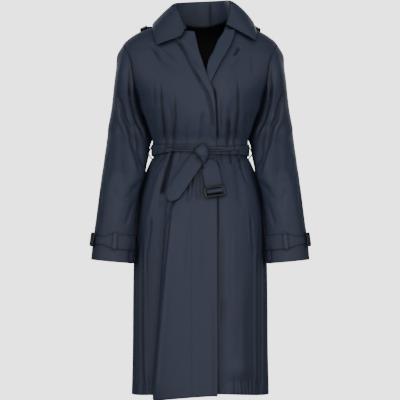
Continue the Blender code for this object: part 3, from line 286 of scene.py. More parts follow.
# Cuff strap by turn round the sleeve: its middle as a section number, and its half width
STRAP_COLUMNS = ("turn", "middle", "half")
STRAP = (
    (0, 8.36, 0.0205),
    (76, 8.36, 0.0205),
    (96, 8.37, 0.0180),
    (116, 8.39, 0.0115),
    (140, 8.40, 0.0100),
    (200, 8.40, 0.0120),
    (250, 8.38, 0.0205),
    (360, 8.36, 0.0205),
)
SECTION_STEP = 0.045  # distance between the sections at the cuff
STRAP_MIDDLE = 8.36
STRAP_LOOP_TURN = 86
CUFF_LOOP_HALF_TURN = 4.8
CUFF_LOOP_PATH = (0.0270, 0.0235, 0.0205, 0.0, -0.0205, -0.0235, -0.0270)  # down the cuff, over the strap
CUFF_BUCKLE_TURN = 157.5
CUFF_BUCKLE_ROW = 8.40
CUFF_BUCKLE_SIZE = (0.025, 0.041, 0.0034, 0.0026)  # width, height, bar and thickness
BUCKLE_BAR_HALF = 0.0020  # half widths of the middle bars
CUFF_BAR_HALF = 0.0011


# --- curves through tables -----------------------------------------------------------------------------


def through(known, values, at):
    """A smooth curve through the known values that never overshoots them, read at each place."""
    known, values, at = (np.asarray(a, float) for a in (known, values, at))
    if known[0] > known[-1]:
        known, values = known[::-1], values[::-1]
    step = np.diff(known)
    slope = np.diff(values) / step
    tangent = np.empty_like(values)
    tangent[0], tangent[-1] = slope[0], slope[-1]
    product = slope[:-1] * slope[1:]
    total = slope[:-1] + slope[1:]
    tangent[1:-1] = np.where(product > 0, 2 * product / np.where(total == 0, 1, total), 0)
    at = np.clip(at, known[0], known[-1])
    i = np.clip(np.searchsorted(known, at, side="right") - 1, 0, len(step) - 1)
    t = (at - known[i]) / step[i]
    a = (1 + 2 * t) * (1 - t) ** 2 * values[i] + t * (1 - t) ** 2 * step[i] * tangent[i]
    return a + t * t * (3 - 2 * t) * values[i + 1] + t * t * (t - 1) * step[i] * tangent[i + 1]


def column(table, columns, name, at, by=0):
    """One named column of a table, read at places along its column number by."""
    return through([row[by] for row in table], [row[columns.index(name)] for row in table], at)


def ease(t):
    t = np.clip(t, 0, 1)
    return t * t * (3 - 2 * t)


def unit(v):
    return v / np.maximum(np.linalg.norm(v, axis=-1, keepdims=True), 1e-12)


def run_length(path):
    """How far along a path each of its points lies."""
    return np.concatenate([[0], np.cumsum(np.linalg.norm(np.diff(path, axis=0), axis=-1))])


def ridge(gap, width):
    """A soft ridge's height at this gap from its line, as a share of its full height."""
    return np.exp(-((gap / width) ** 2))


# --- the body's skin -----------------------------------------------------------------------------------


def body_size(z):
    return [column(BODY, BODY_COLUMNS, name, z) for name in BODY_COLUMNS[1:]]


def body_base(angle, z):
    """The body without folds. The angle runs from centre front towards the wearer's left."""
    angle, z = np.broadcast_arrays(np.asarray(angle, float), np.asarray(z, float))
    half_width, front, back, full = body_size(z)
    s, c = np.sin(angle), np.cos(angle)
    x = half_width * s * (1 + full * c * c)
    y = -np.where(c > 0, front, back) * c * (1 + full * s * s)
    return np.stack([x, y, z], -1)


def angle_of(share, full):
    """The angle whose sine, squared up by full, is this share of the half width."""
    share = np.clip(share, -0.9999, 0.9999)
    t = np.arcsin(share)
    for _ in range(6):
        s, c = np.sin(t), np.cos(t)
        slope = c * (1 + full * c * c) - 2 * full * s * s * c
        t = t - (s * (1 + full * c * c) - share) / np.maximum(slope, 0.05)
    return t


def angle_at(x, z, face="front"):
    """Where a point this far out from the middle lies round the ring at height z."""
    half_width, _, _, full = body_size(z)
    t = angle_of(np.asarray(x, float) / half_width, full)
    return t if face == "front" else np.pi - t


def angle_at_depth(y, z, face):
    """The angle on the left side where the ring is y in front of or behind the side seam."""
    _, front, back, full = body_size(z)
    t = angle_of(np.asarray(y, float) / (front if face == "front" else back), full)
    return np.pi / 2 - t if face == "front" else np.pi / 2 + t


# --- finer folds, for the looks alone --------------------------------------------------------------------

# Straight ones, with the columns of FOLDS
FINE_FOLDS = (
    # creases that run from the collar's leaves
    ("front", -0.1398, -0.091, -0.1014, -0.153, 0.0080, 0.0060, -0.0039, 0.03),
    ("front", -0.1014, -0.100, -0.0659, -0.138, 0.0070, 0.0050, -0.0036, 0.03),
    ("front", -0.1191, -0.091, -0.0836, -0.135, 0.0050, 0.0050, 0.0014, 0.03),
    ("front", 0.1144, -0.091, 0.1011, -0.117, 0.0040, 0.0045, -0.0054, 0.01),
    ("front", 0.1203, -0.117, 0.0937, -0.147, 0.0060, 0.0060, -0.0030, 0.03),
    ("front", 0.1557, -0.117, 0.1528, -0.165, 0.0060, 0.0060, -0.0023, 0.03),
    # gathers above the belt
    ("front", -0.1273, -0.302, -0.1200, -0.384, 0.0050, 0.0040, 0.0015, 0.03),
    ("front", -0.1405, -0.284, -0.1361, -0.384, 0.0050, 0.0050, -0.0023, 0.03),
    ("front", -0.1376, -0.202, -0.1376, -0.261, 0.0060, 0.0060, -0.0022, 0.03),
    ("front", -0.0935, -0.290, -0.0920, -0.384, 0.0050, 0.0040, 0.0016, 0.03),
    ("front", -0.0626, -0.314, -0.0656, -0.384, 0.0050, 0.0040, 0.0012, 0.02),
    ("front", -0.0420, -0.325, -0.0435, -0.384, 0.0045, 0.0045, -0.0018, 0.02),
    ("front", 0.0079, -0.290, 0.0003, -0.370, 0.0050, 0.0050, -0.0030, 0.02),
    ("front", 0.0638, -0.243, 0.0644, -0.334, 0.0045, 0.0045, -0.0027, 0.03),
    ("front", 0.0714, -0.308, 0.0709, -0.384, 0.0040, 0.0040, 0.0011, 0.02),
    ("front", 0.0861, -0.308, 0.0817, -0.384, 0.0038, 0.0038, -0.0050, 0.02),
    ("front", 0.0950, -0.314, 0.0932, -0.384, 0.0040, 0.0040, 0.0015, 0.02),
    ("front", 0.1255, -0.284, 0.1182, -0.384, 0.0040, 0.0050, 0.0015, 0.03),
    ("front", 0.1388, -0.284, 0.1344, -0.384, 0.0050, 0.0050, -0.0026, 0.03),
    # creases below the belt
    ("front", -0.0914, -0.402, -0.1111, -0.461, 0.0045, 0.0035, 0.0024, 0.01),
    ("front", -0.1061, -0.399, -0.1170, -0.428, 0.0040, 0.0040, -0.0054, 0.01),
    ("front", -0.1250, -0.399, -0.1391, -0.437, 0.0040, 0.0045, -0.0043, 0.01),
    ("front", -0.1170, -0.449, -0.1297, -0.468, 0.0040, 0.0040, -0.0031, 0.01),
    ("front", -0.0597, -0.402, -0.0626, -0.428, 0.0040, 0.0040, -0.0026, 0.01),
    ("front", 0.0623, -0.402, 0.0653, -0.431, 0.0040, 0.0040, -0.0030, 0.01),
    ("front", 0.0882, -0.399, 0.0920, -0.434, 0.0036, 0.0036, -0.0047, 0.01),
    ("front", 0.1005, -0.399, 0.1050, -0.425, 0.0036, 0.0036, 0.0012, 0.01),
    ("front", 0.1117, -0.399, 0.1226, -0.449, 0.0045, 0.0038, -0.0058, 0.01),
    ("front", 0.1226, -0.443, 0.1358, -0.487, 0.0060, 0.0050, -0.0031, 0.02),
    ("front", 0.1379, -0.399, 0.1520, -0.443, 0.0045, 0.0040, -0.0036, 0.01),
    # pleats under the belt's ends
    ("front", -0.0391, -0.502, -0.0373, -0.546, 0.0050, 0.0045, -0.0038, 0.01),
    ("front", -0.0235, -0.467, -0.0262, -0.534, 0.0036, 0.0036, -0.0031, 0.01),
    ("front", -0.0109, -0.472, -0.0097, -0.543, 0.0034, 0.0034, -0.0026, 0.01),
    ("front", -0.0176, -0.472, -0.0176, -0.540, 0.0030, 0.0030, 0.0010, 0.01),
    ("front", 0.0006, -0.461, 0.0021, -0.537, 0.0036, 0.0036, -0.0022, 0.01),
    # the long fold's foot, and soft runs down the skirt
    ("front", -0.1461, -0.602, -0.1552, -0.684, 0.0045, 0.0050, -0.0039, 0.03),
    ("front", -0.1585, -0.649, -0.1608, -0.743, 0.0040, 0.0040, -0.0018, 0.03),
    ("front", 0.1491, -0.596, 0.1579, -0.696, 0.0050, 0.0045, -0.0044, 0.03),
    ("front", 0.1402, -0.584, 0.1446, -0.672, 0.0040, 0.0040, 0.0012, 0.03),
    ("front", -0.0273, -0.596, -0.0362, -0.714, 0.0090, 0.0090, -0.0017, 0.06),
    ("front", 0.0109, -0.666, 0.0094, -0.778, 0.0080, 0.0080, -0.0016, 0.05),
    ("front", -0.0362, -0.705, -0.0391, -0.793, 0.0070, 0.0070, -0.0012, 0.05),
    ("front", 0.0903, -0.631, 0.0911, -0.852, 0.0070, 0.0070, -0.0013, 0.08),
    ("front", 0.0685, -0.837, 0.0667, -0.908, 0.0070, 0.0070, -0.0022, 0.03),
    ("front", 0.1138, -0.896, 0.1108, -0.990, 0.0070, 0.0070, -0.0012, 0.04),
    # side ridges of the skirt, where it turns away
    ("front", -0.1638, -0.696, -0.1638, -1.084, 0.0050, 0.0045, 0.0025, 0.05),
    ("front", -0.1755, -0.708, -0.1755, -1.084, 0.0060, 0.0060, -0.0048, 0.05),
    ("front", -0.1861, -0.708, -0.1867, -1.084, 0.0030, 0.0030, -0.0057, 0.05),
    ("front", -0.1923, -0.708, -0.1932, -1.084, 0.0026, 0.0030, 0.0015, 0.05),
    ("front", 0.1614, -0.696, 0.1620, -1.084, 0.0045, 0.0050, 0.0025, 0.05),
    ("front", 0.1738, -0.708, 0.1738, -1.084, 0.0060, 0.0060, -0.0048, 0.05),
    ("front", 0.1832, -0.708, 0.1840, -1.084, 0.0030, 0.0030, -0.0057, 0.05),
    ("front", 0.1899, -0.708, 0.1908, -1.084, 0.0030, 0.0026, 0.0015, 0.05),
)
# Longer folds through several places: face, widths each side, height, fade, and each place's x and z
LONG_FOLDS = (
    # the open front edge's roll line, on down to the belt
    ("front", 0.0054, 0.0040, -0.0052, 0.04, (
        (-0.0659, -0.070), (-0.0452, -0.103), (-0.0303, -0.136), (-0.0126, -0.170), (0.0212, -0.228),
        (0.0344, -0.284), (0.0388, -0.331))),
    # gathers above the belt
    ("front", 0.0040, 0.0036, -0.0052, 0.08, ((-0.1170, -0.214), (-0.1141, -0.276), (-0.1050, -0.384))),
    ("front", 0.0040, 0.0036, -0.0052, 0.07, ((-0.0764, -0.255), (-0.0744, -0.305), (-0.0823, -0.384))),
    ("front", 0.0036, 0.0040, -0.0052, 0.08, ((0.1108, -0.208), (0.1133, -0.276), (0.1038, -0.384))),
    # the long fold below the belt, its foot, and the fold that runs on to the hem
    ("front", 0.0038, 0.0062, -0.0095, 0.02, ((-0.0823, -0.399), (-0.0997, -0.449), (-0.1155, -0.519))),
    ("front", 0.0045, 0.0055, -0.0066, 0.03, ((-0.0761, -0.537), (-0.0923, -0.584), (-0.1026, -0.619))),
    ("front", 0.0095, 0.0035, -0.0078, 0.03, (
        (-0.0873, -0.590), (-0.1008, -0.731), (-0.1155, -0.849), (-0.1332, -1.100))),
    ("front", 0.0040, 0.0065, 0.0026, 0.03, ((-0.0791, -0.590), (-0.0932, -0.731), (-0.1250, -1.100))),
    # the skirt's sides
    ("front", 0.0050, 0.0050, 0.0034, 0.03, ((-0.1543, -0.443), (-0.1773, -0.528), (-0.1861, -0.690))),
    ("front", 0.0050, 0.0050, 0.0034, 0.03, ((0.1514, -0.443), (0.1743, -0.528), (0.1832, -0.690))),
)
# Short ripples at the hem: place, height of their top, width and depth
HEM_RIPPLES = (
    (-0.1670, -1.080, 0.0036, -0.0030),
    (-0.1591, -1.072, 0.0032, -0.0042),
    (-0.1502, -1.078, 0.0034, -0.0046),
    (-0.1408, -1.070, 0.0034, -0.0040),
    (0.1008, -1.082, 0.0036, -0.0040),
    (0.1114, -1.090, 0.0034, -0.0034),
    (0.1214, -1.078, 0.0034, -0.0044),
    (0.1326, -1.088, 0.0036, -0.0034),
    (0.1438, -1.080, 0.0034, -0.0044),
    (0.1555, -1.072, 0.0034, -0.0040),
    (0.1649, -1.082, 0.0034, -0.0030),
)
# Gathers of the back at the belt: place, how far they reach up and down, and depth
BACK_GATHERS = (
    (-0.118, 0.050, 0.060, -0.0026),
    (-0.101, 0.090, 0.045, -0.0030),
    (-0.083, 0.045, 0.110, -0.0026),
    (-0.068, 0.070, 0.050, -0.0022),
    (-0.036, 0.100, 0.080, -0.0028),
    (-0.019, 0.050, 0.045, -0.0020),
    (0.012, 0.060, 0.090, -0.0024),
    (0.031, 0.090, 0.050, -0.0026),
    (0.047, 0.045, 0.075, -0.0020),
    (0.074, 0.085, 0.120, -0.0030),
    (0.090, 0.050, 0.055, -0.0022),
    (0.110, 0.075, 0.065, -0.0028),
    (0.124, 0.045, 0.045, -0.0022),
)
GATHER_WIDTH = 0.0050
GATHER_FADE = 0.025
GATHER_SPREAD = 1.18  # how much further out a gather ends than it starts
BELT_MIDDLE_Z = -0.3945
# Soft swells: face, place, height, radii across and up, and how far out
SWELLS = (
    ("front", 0.118, -1.040, 0.034, 0.022, 0.0034),
    ("front", 0.105, -1.078, 0.040, 0.014, -0.0026),
    ("front", -0.085, -0.700, 0.050, 0.120, 0.0020),
    ("front", 0.110, -0.620, 0.050, 0.110, 0.0030),
    ("front", -0.075, -0.200, 0.050, 0.060, 0.0030),
    ("front", 0.095, -0.205, 0.050, 0.060, 0.0030),
    ("front", 0.120, -0.905, 0.040, 0.070, -0.0020),
    ("back", -0.110, -0.170, 0.040, 0.070, 0.0040),
    ("back", 0.110, -0.170, 0.040, 0.070, 0.0040),
    ("back", -0.060, -0.760, 0.050, 0.110, 0.0030),
    ("back", 0.085, -0.900, 0.050, 0.120, 0.0026),
)
# Swells at the waist's sides, the armpits and the skirt's sides, alike on both sides, in front and behind
SIDE_SWELLS = (
    (0.150, -0.395, 0.026, 0.052, 0.0022),
    (0.176, -0.258, 0.024, 0.030, 0.0040),
    (0.200, -0.850, 0.030, 0.240, 0.0026),
)
BELT_PRESS = 0.0026  # how deep the belt's lower edge presses the cloth in
BELT_PRESS_DROP = 0.0042  # how far under that edge, and how wide
BELT_PRESS_WIDTH = 0.0030


def all_folds():
    """Every fold of the body: the part's own, the finer ones, the hem's ripples and the back's gathers."""
    straight = [*FOLDS, *FINE_FOLDS]
    for x, top, width, depth in HEM_RIPPLES:
        straight.append(("front", x, top, x * 1.01, -1.150, width, width, depth, 0.03))
        straight.append(("back", -x, top, -x * 1.01, -1.150, width, width, depth, 0.03))
    for x, above, below, depth in BACK_GATHERS:
        ends = ((x * GATHER_SPREAD, BELT_MIDDLE_Z + 0.018 + above, x, BELT_MIDDLE_Z + 0.018),
                (x, BELT_MIDDLE_Z - 0.018, x * GATHER_SPREAD, BELT_MIDDLE_Z - 0.018 - below))
        for x_top, z_top, x_bottom, z_bottom in ends:
            widths = (GATHER_WIDTH, GATHER_WIDTH)
            straight.append(("back", x_top, z_top, x_bottom, z_bottom, *widths, depth, GATHER_FADE))
    return [*LONG_FOLDS, *((f[0], *f[5:], ((f[1], f[2]), (f[3], f[4]))) for f in straight)]


ALL_FOLDS = all_folds()
ALL_SWELLS = [*SWELLS, *((face, sign * x, *rest) for x, *rest in SIDE_SWELLS
                         for face in ("front", "back") for sign in (-1, 1))]


def fold_height(angle, z):
    """How far the folds and swells move the skin out at each place."""
    here = body_base(angle, z)
    out = np.zeros(here.shape[:-1])
    half_width = body_size(here[..., 2])[0]
    front_half = np.cos(angle + 0 * here[..., 2]) > 0
    for face, minus, plus, height, fade, places in ALL_FOLDS:
        x_line, z_line = np.array(places).T
        z_top, z_bottom = z_line[0], z_line[-1]
        near = (here[..., 2] < z_top + fade / 2) & (here[..., 2] > z_bottom - fade / 2)
        near &= front_half == (face == "front")
        if not near.any():
            continue
        part, half = here[near], half_width[near]
        x = np.clip(np.interp(-part[:, 2], -z_line, x_line), -0.97 * half, 0.97 * half)
        line = body_base(angle_at(x, part[:, 2], face), part[:, 2])
        gap = np.linalg.norm(part - line, axis=-1)
        width = np.where(part[:, 0] < x, minus, plus)
        ends = ease((z_top + fade / 2 - part[:, 2]) / fade) * ease((part[:, 2] - z_bottom + fade / 2) / fade)
        out[near] += height * ridge(gap, width) * ends
    for face, x, z_middle, across, up, height in ALL_SWELLS:
        gap = ((here[..., 0] - x) / across) ** 2 + ((here[..., 2] - z_middle) / up) ** 2
        out += height * np.exp(-gap) * (front_half == (face == "front"))
    turn = np.degrees(np.arctan2(np.sin(angle), np.cos(angle))) + 0 * here[..., 2]
    low = column(BELT, BELT_COLUMNS, "centre", turn) - column(BELT, BELT_COLUMNS, "half", turn)
    return out - BELT_PRESS * ridge(here[..., 2] - low + BELT_PRESS_DROP, BELT_PRESS_WIDTH)


def normal_of(surface, a, b, step_a=2e-3, step_b=4e-4):
    """The outward normal of surface(a, b), where a turns towards the wearer's left and b rises."""
    across = surface(a + step_a, b) - surface(a - step_a, b)
    up = surface(a, b + step_b) - surface(a, b - step_b)
    return unit(np.cross(across, up))


def body_skin(angle, z, lift=0.0):
    """A point of the worn coat's outer skin, folds included, moved out by lift."""
    angle, z = np.broadcast_arrays(np.asarray(angle, float), np.asarray(z, float))
    out = fold_height(angle, z) + lift
    return body_base(angle, z) + normal_of(body_base, angle, z) * out[..., None]


def arm_height(turn):
    """Height on the armhole, from the underarm at turn 0 to the shoulder at half a turn."""
    middle, reach = (SHOULDER_Z + UNDERARM_Z) / 2, (SHOULDER_Z - UNDERARM_Z) / 2
    return middle - reach * np.cos(turn)


def armhole_depth(z):
    middle, reach = (SHOULDER_Z + UNDERARM_Z) / 2, (SHOULDER_Z - UNDERARM_Z) / 2
    return ARMHOLE_REACH * np.sqrt(np.clip(1 - ((z - middle) / reach) ** 2, 0, 1))


def side_angle(z, face):
    """A panel's edge on the left side: the side seam, then the armhole, then the shoulder seam."""
    inside = (z > UNDERARM_Z) & (z < SHOULDER_Z)
    depth = np.where(inside, armhole_depth(z), 0) + SEAM_GAP / 2
    return angle_at_depth(depth, z, face)


def edge_x(z, name):
    return column(FRONT_EDGES, EDGE_COLUMNS, name, z)


def left_layer(x, z):
    """How far the left front lies in, to pass under the right front's edge."""
    under = np.clip((edge_x(z, "right_edge") + 0.046 - x) / 0.042, 0, 1)
    lapel = (FACING_WALL + LAPEL_ROOM) * ease((z - LAPEL_BOTTOM_Z + 0.045) / 0.04)
    crossed = ease((OPEN_ABOVE_Z - z) / 0.025)
    return -(WALL + LAYER_GAP + lapel) * under * crossed


def roll_room(z):
    """How far the left front's edge stops short of the roll line, where the facing wraps it."""
    return ROLL_RADIUS * (z > LAPEL_BOTTOM_Z - 0.001)


def hem_height(x, face, side="left"):
    """The hem's height across the coat: raised a little in front, lower where the right front swings out."""
    level = np.full_like(x, HEM_Z)
    if face != "front":
        return level
    level = level + HEM_RISE * (1 - (x / 0.206) ** 2)
    drop = 0.017 - 0.012 * np.clip((x + 0.131) / 0.181, 0, 1)
    return level - drop * ease((x + 0.145) / 0.014) * (side == "right")


def front_neck_x(side, z):
    neckline = LEFT_NECKLINE if side == "left" else RIGHT_NECKLINE
    return through([row[0] for row in neckline], [row[1] for row in neckline], z)


def overlap_span(z):
    return max(float(edge_x(z, "right_edge") - edge_x(z, "left_edge")), LEAST_OVERLAP)


def back_neck_x(z):
    """How far out the back neckline is at height z."""
    return NECK_HALF * np.sqrt(np.clip((z + BACK_NECK_DROP) / BACK_NECK_DROP, 0, 1))


def sleeve_ring(turn, row):
    """A point of the sleeve's sections: turn 0 faces the body, a quarter turn the front."""
    rows = np.arange(len(SLEEVE))
    x, y, z, half_width, half_depth, tilt = (through(rows, [s[i] for s in SLEEVE], row) for i in range(6))
    tilt = np.radians(tilt)
    out, forward = -np.cos(turn) * half_width, np.sin(turn) * half_depth
    return np.stack([x + out * np.cos(tilt), y - forward, z + out * np.sin(tilt)], -1)


def armhole_ring(steps=96):
    """The left armhole: its points on the body's skin, the normals there and the way to its middle."""
    turn = np.linspace(0, 2 * np.pi, steps + 1)
    z = arm_height(turn)
    depth = ARMHOLE_REACH * np.abs(np.sin(turn))
    ahead_of_seam = np.sin(turn) >= 0
    angle = np.where(ahead_of_seam, angle_at_depth(depth, z, "front"), angle_at_depth(depth, z, "back"))
    points, normals = body_skin(angle, z), normal_of(body_skin, angle, z)
    ahead, behind = np.roll(points[:-1], -1, 0), np.roll(points[:-1], 1, 0)
    along = np.concatenate([ahead - behind, (ahead - behind)[:1]])
    inwards = unit(np.cross(normals, along))
    inwards = inwards * np.sign((inwards * (points.mean(0) - points)).sum(-1, keepdims=True))
    return turn, points, normals, inwards


ARMHOLE = armhole_ring()


def armhole(turn):
    """A point of the armhole, the body's normal there and the way in, from the underarm round the front."""
    known = ARMHOLE[0]
    turn = np.mod(turn, 2 * np.pi)
    return [np.stack([np.interp(turn, known, v[:, i]) for i in range(3)], -1) for v in ARMHOLE[1:]]


def leaving(turn):
    """The direction in which the sleeve leaves the armhole."""
    up = -np.cos(turn)
    side = np.sin(turn)
    return unit(np.stack([0.24 + 0.12 * up + 0.30 * side * side, -0.30 * side, -0.70 - 0.10 * up * up], -1))


def sleeve_base(turn, row):
    """The left sleeve without folds: row -1 is the armhole, row 0 the first section."""
    turn, row = np.broadcast_arrays(np.asarray(turn, float), np.asarray(row, float))
    below = sleeve_ring(turn, np.maximum(row, 0))
    start, body_normal, inwards = armhole(turn)
    away = leaving(turn)
    under = ease((np.cos(turn) - 0.2) / 0.4)[..., None]
    start = start + SEAM_GAP * (inwards + body_normal * under)
    end = sleeve_ring(turn, np.zeros_like(turn))
    heading = unit(sleeve_ring(turn, np.full_like(turn, 0.5)) - end)
    reach = np.linalg.norm(end - start, axis=-1, keepdims=True)
    t = np.clip(row + 1, 0, 1)[..., None]
    cap = (
        (1 + 2 * t) * (1 - t) ** 2 * start
        + t * (1 - t) ** 2 * reach * 1.1 * away
        + t * t * (3 - 2 * t) * end
        + t * t * (t - 1) * reach * 1.0 * heading
    )
    return np.where((row < 0)[..., None], cap, below)


def sleeve_normal(turn, row, surface=sleeve_base):
    """The outward normal of the left sleeve, whose turns run round the front and whose rows run down."""
    around = surface(turn + 2e-3, row) - surface(turn - 2e-3, row)
    down = surface(turn, np.minimum(row + 2e-3, len(SLEEVE) - 1)) - surface(turn, np.maximum(row - 2e-3, -1))
    return unit(np.cross(down, around))


def sleeve_skin(turn, row, lift=0.0):
    out = sleeve_fold_height(turn, row) + lift
    return sleeve_base(turn, row) + sleeve_normal(turn, row) * out[..., None]


def grid_normals(points):
    """Outward normals of a grid whose columns run across and whose rows run up."""
    return unit(np.cross(np.gradient(points, axis=1), np.gradient(points, axis=0)))


def laid(x, z, lift, face="front"):
    """A point over the body's skin, this far out from the middle and up."""
    return body_skin(angle_at(x, z, face), np.asarray(z, float), lift)


def hung(x, z, lift):
    """A point in front of the body's plain form, for what hangs free of its folds."""
    angle = angle_at(x, z)
    return body_base(angle, z) + normal_of(body_base, angle, z) * np.asarray(lift)[..., None]


def hung_strip(stations, columns):
    """A strip's grid from its low end up; a station is x, z, half width and lift of its centre line."""
    stations = np.array(stations)
    centre, half, lift = stations[:, :2], stations[:, 2:3], stations[:, 3:4]
    along = unit(np.gradient(centre, axis=0))
    across = np.stack([along[:, 1], -along[:, 0]], -1)
    share = np.linspace(-1, 1, columns)
    flat = centre[:, None] + across[:, None] * (half * share)[..., None]
    return hung(flat[..., 0], flat[..., 1], np.broadcast_to(lift, flat.shape[:2]))


def resampled(stations, steps):
    """The same run of stations, drawn smoothly through them and read at even steps."""
    stations = np.array(stations, float)
    known = np.arange(len(stations))
    at = np.linspace(0, len(stations) - 1, steps)
    return np.stack([through(known, column_values, at) for column_values in stations.T], -1)


def collar_table(steps):
    at = np.linspace(0, len(COLLAR) - 1, steps)
    known = np.arange(len(COLLAR))
    return [through(known, [row[i] for row in COLLAR], at) for i in range(len(COLLAR_COLUMNS))]


def neckline(steps):
    """The panels' top edges from the right front round the back to the left front, at even steps."""
    table = np.array(RIGHT_NECKLINE)
    start = np.linspace(STAND_START_X, NECK_HALF, 12)
    right = laid(-start, through(table[:, 1], table[:, 0], start), 0.0)
    table = np.array(LEFT_NECKLINE)
    end = np.linspace(NECK_HALF, STAND_END_X, 12)
    left = laid(end, through(table[:, 1], table[:, 0], end), 0.0)
    turn = np.radians(np.linspace(-90, 90, 25)[1:-1])
    x = NECK_HALF * np.sin(turn)
    back = laid(x, -BACK_NECK_DROP * np.cos(turn) ** 2, 0.0, "back")
    points = np.concatenate([right, back, left])
    length = run_length(points)
    at = np.linspace(0, length[-1], steps)
    return np.stack([np.interp(at, length, points[:, i]) for i in range(3)], -1)


def buckle_axes():
    x, z, lift = BUCKLE_PLACE
    centre = hung(np.array(x), np.array(z), np.array(lift))
    out = unit(hung(np.array(x), np.array(z), np.array(lift + 0.01)) - centre)
    lean = math.radians(BUCKLE_LEAN)
    across = np.array([math.cos(lean), 0, math.sin(lean)])
    across = unit(across - out * (across @ out))
    return centre, across, np.cross(out, across), out


def strap_lift(turn):
    """The strap lies on the sleeve, and rises over the cuff buckle's middle bar."""
    gap = np.abs(turn - CUFF_BUCKLE_TURN)
    return STRAP_GAP + STRAP_WALL + CUFF_STRAP_RISE * ease((6.6 - gap) / 4.8)


# --- meshes ------------------------------------------------------------------------------------------------

EDGE_BULGE = 0.45  # how far a cloth's rounded edge stands past its outline, as a share of half its thickness
RIM_TURNS = np.radians((40, 90, 140))


def grid_faces(rows, columns, closed=False):
    """The quads of a grid whose columns run across and whose rows run up, facing out."""
    low = np.arange(rows - 1)[:, None] * columns
    c = np.arange(columns if closed else columns - 1)
    d = (c + 1) % columns
    return np.stack([low + c, low + d, low + columns + d, low + columns + c], -1).reshape(-1, 4)


def skin_normals(points, faces):
    """Smooth normals of a skin, from its faces."""
    corner = points[faces]
    face = np.cross(corner[:, 2] - corner[:, 0], corner[:, 3] - corner[:, 1])
    out = np.zeros_like(points)
    for i in range(faces.shape[1]):
        np.add.at(out, faces[:, i], face)
    return unit(out)


def cloth_coordinates(grid):
    """Distances across and up the cloth from the middle of its lowest row."""
    across = np.linalg.norm(np.diff(grid, axis=1), axis=-1)
    across = np.concatenate([np.zeros((len(grid), 1)), np.cumsum(across, axis=1)], 1)
    across = across - across[:, across.shape[1] // 2, None]
    up = np.linalg.norm(np.diff(grid, axis=0), axis=-1).mean(1)
    up = np.concatenate([[0], np.cumsum(up)])
    return np.stack([across, np.broadcast_to(up[:, None], across.shape)], -1).reshape(-1, 2)


def make_mesh(name, points, faces, materials, indices=None, uv=None):
    mesh = bpy.data.meshes.new(name)
    mesh.from_pydata(points.tolist(), [], [list(map(int, f)) for f in faces])
    for made in materials:
        mesh.materials.append(made)
    if indices is not None:
        mesh.polygons.foreach_set("material_index", np.asarray(indices, np.int32))
    if uv is not None:
        loops = np.zeros(len(mesh.loops), np.int32)
        mesh.loops.foreach_get("vertex_index", loops)
        layer = mesh.uv_layers.new(name="cloth")
        layer.data.foreach_set("uv", np.asarray(uv, np.float32)[loops].ravel())
    mesh.shade_smooth()
    made = bpy.data.objects.new(name, mesh)
    bpy.context.scene.collection.objects.link(made)
    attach(made, "root")
    return made


def cloth(node, grid, thickness, lined=False, closed=False, flip=False, skin=None):
    """A node's thin cloth: an outer skin, an inner one a thickness in, and a rounded rim on each open edge.

    The cloth is a grid, or else a skin of points, faces and places on the cloth."""
    if skin:
        points, faces, uv = skin
    else:
        points, faces, uv = grid.reshape(-1, 3), grid_faces(*grid.shape[:2], closed), cloth_coordinates(grid)
    if flip:
        faces = faces[:, ::-1]
    normals = skin_normals(points, faces)
    total = len(points)
    start, end = faces.ravel(), np.roll(faces, -1, 1).ravel()
    is_open = ~np.isin(start * total + end, end * total + start)
    start, end = start[is_open], end[is_open]
    rim = np.unique(start)
    place = np.zeros(total, int)
    place[rim] = np.arange(len(rim))
    run = unit(points[end] - points[start])
    away = np.zeros_like(points)
    np.add.at(away, start, np.cross(run, normals[start]))
    np.add.at(away, end, np.cross(run, normals[end]))
    away = unit(away[rim])
    middle, half = points[rim] - normals[rim] * thickness / 2, normals[rim] * thickness / 2
    rings = [middle + half * np.cos(t) + away * (thickness / 2 * EDGE_BULGE * np.sin(t)) for t in RIM_TURNS]
    levels = [start] + [2 * total + k * len(rim) + place[start] for k in range(len(rings))] + [start + total]
    ends = [end] + [2 * total + k * len(rim) + place[end] for k in range(len(rings))] + [end + total]
    sides = [np.stack([levels[k], levels[k + 1], ends[k + 1], ends[k]], -1) for k in range(len(rings) + 1)]
    all_points = np.concatenate([points, points - normals * thickness, *rings])
    all_faces = np.concatenate([faces, faces[:, ::-1] + total, *sides])
    indices = np.zeros(len(all_faces), int)
    indices[len(faces) : 2 * len(faces)] = lined
    uv = np.concatenate([uv, uv] + [uv[rim]] * len(rings))
    plain = lining_material() if node == "back_lining" else shell_material()
    materials = [plain, lining_material()] if lined else [plain]
    made = make_mesh(f"{node}_cloth", all_points, all_faces, materials, indices, uv)
    stands_for(node)


def stands_for(node):
    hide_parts(node)


def mirrored(v):
    return v * np.array([-1.0, 1.0, 1.0])


def on_side(side, points):
    """The left side's points, or their mirror image on the right."""
    return mirrored(points) if side == "right" else points


# --- stitching ---------------------------------------------------------------------------------------------

STITCH_LENGTH = 0.0024
STITCH_PITCH = 0.0033
STITCH_RADIUS = 0.00032
STITCH_SIDES = 5
SEWN = []  # stitch lines of each piece, joined at the end


def spread(path, pitch):
    """Places at even steps along a path, as fractional indices."""
    length = run_length(path)
    return np.interp(np.arange(pitch / 2, length[-1], pitch), length, np.arange(len(path)))


def at_index(values, index):
    known = np.arange(len(values))
    return np.stack([np.interp(index, known, values[:, i]) for i in range(values.shape[1])], -1)


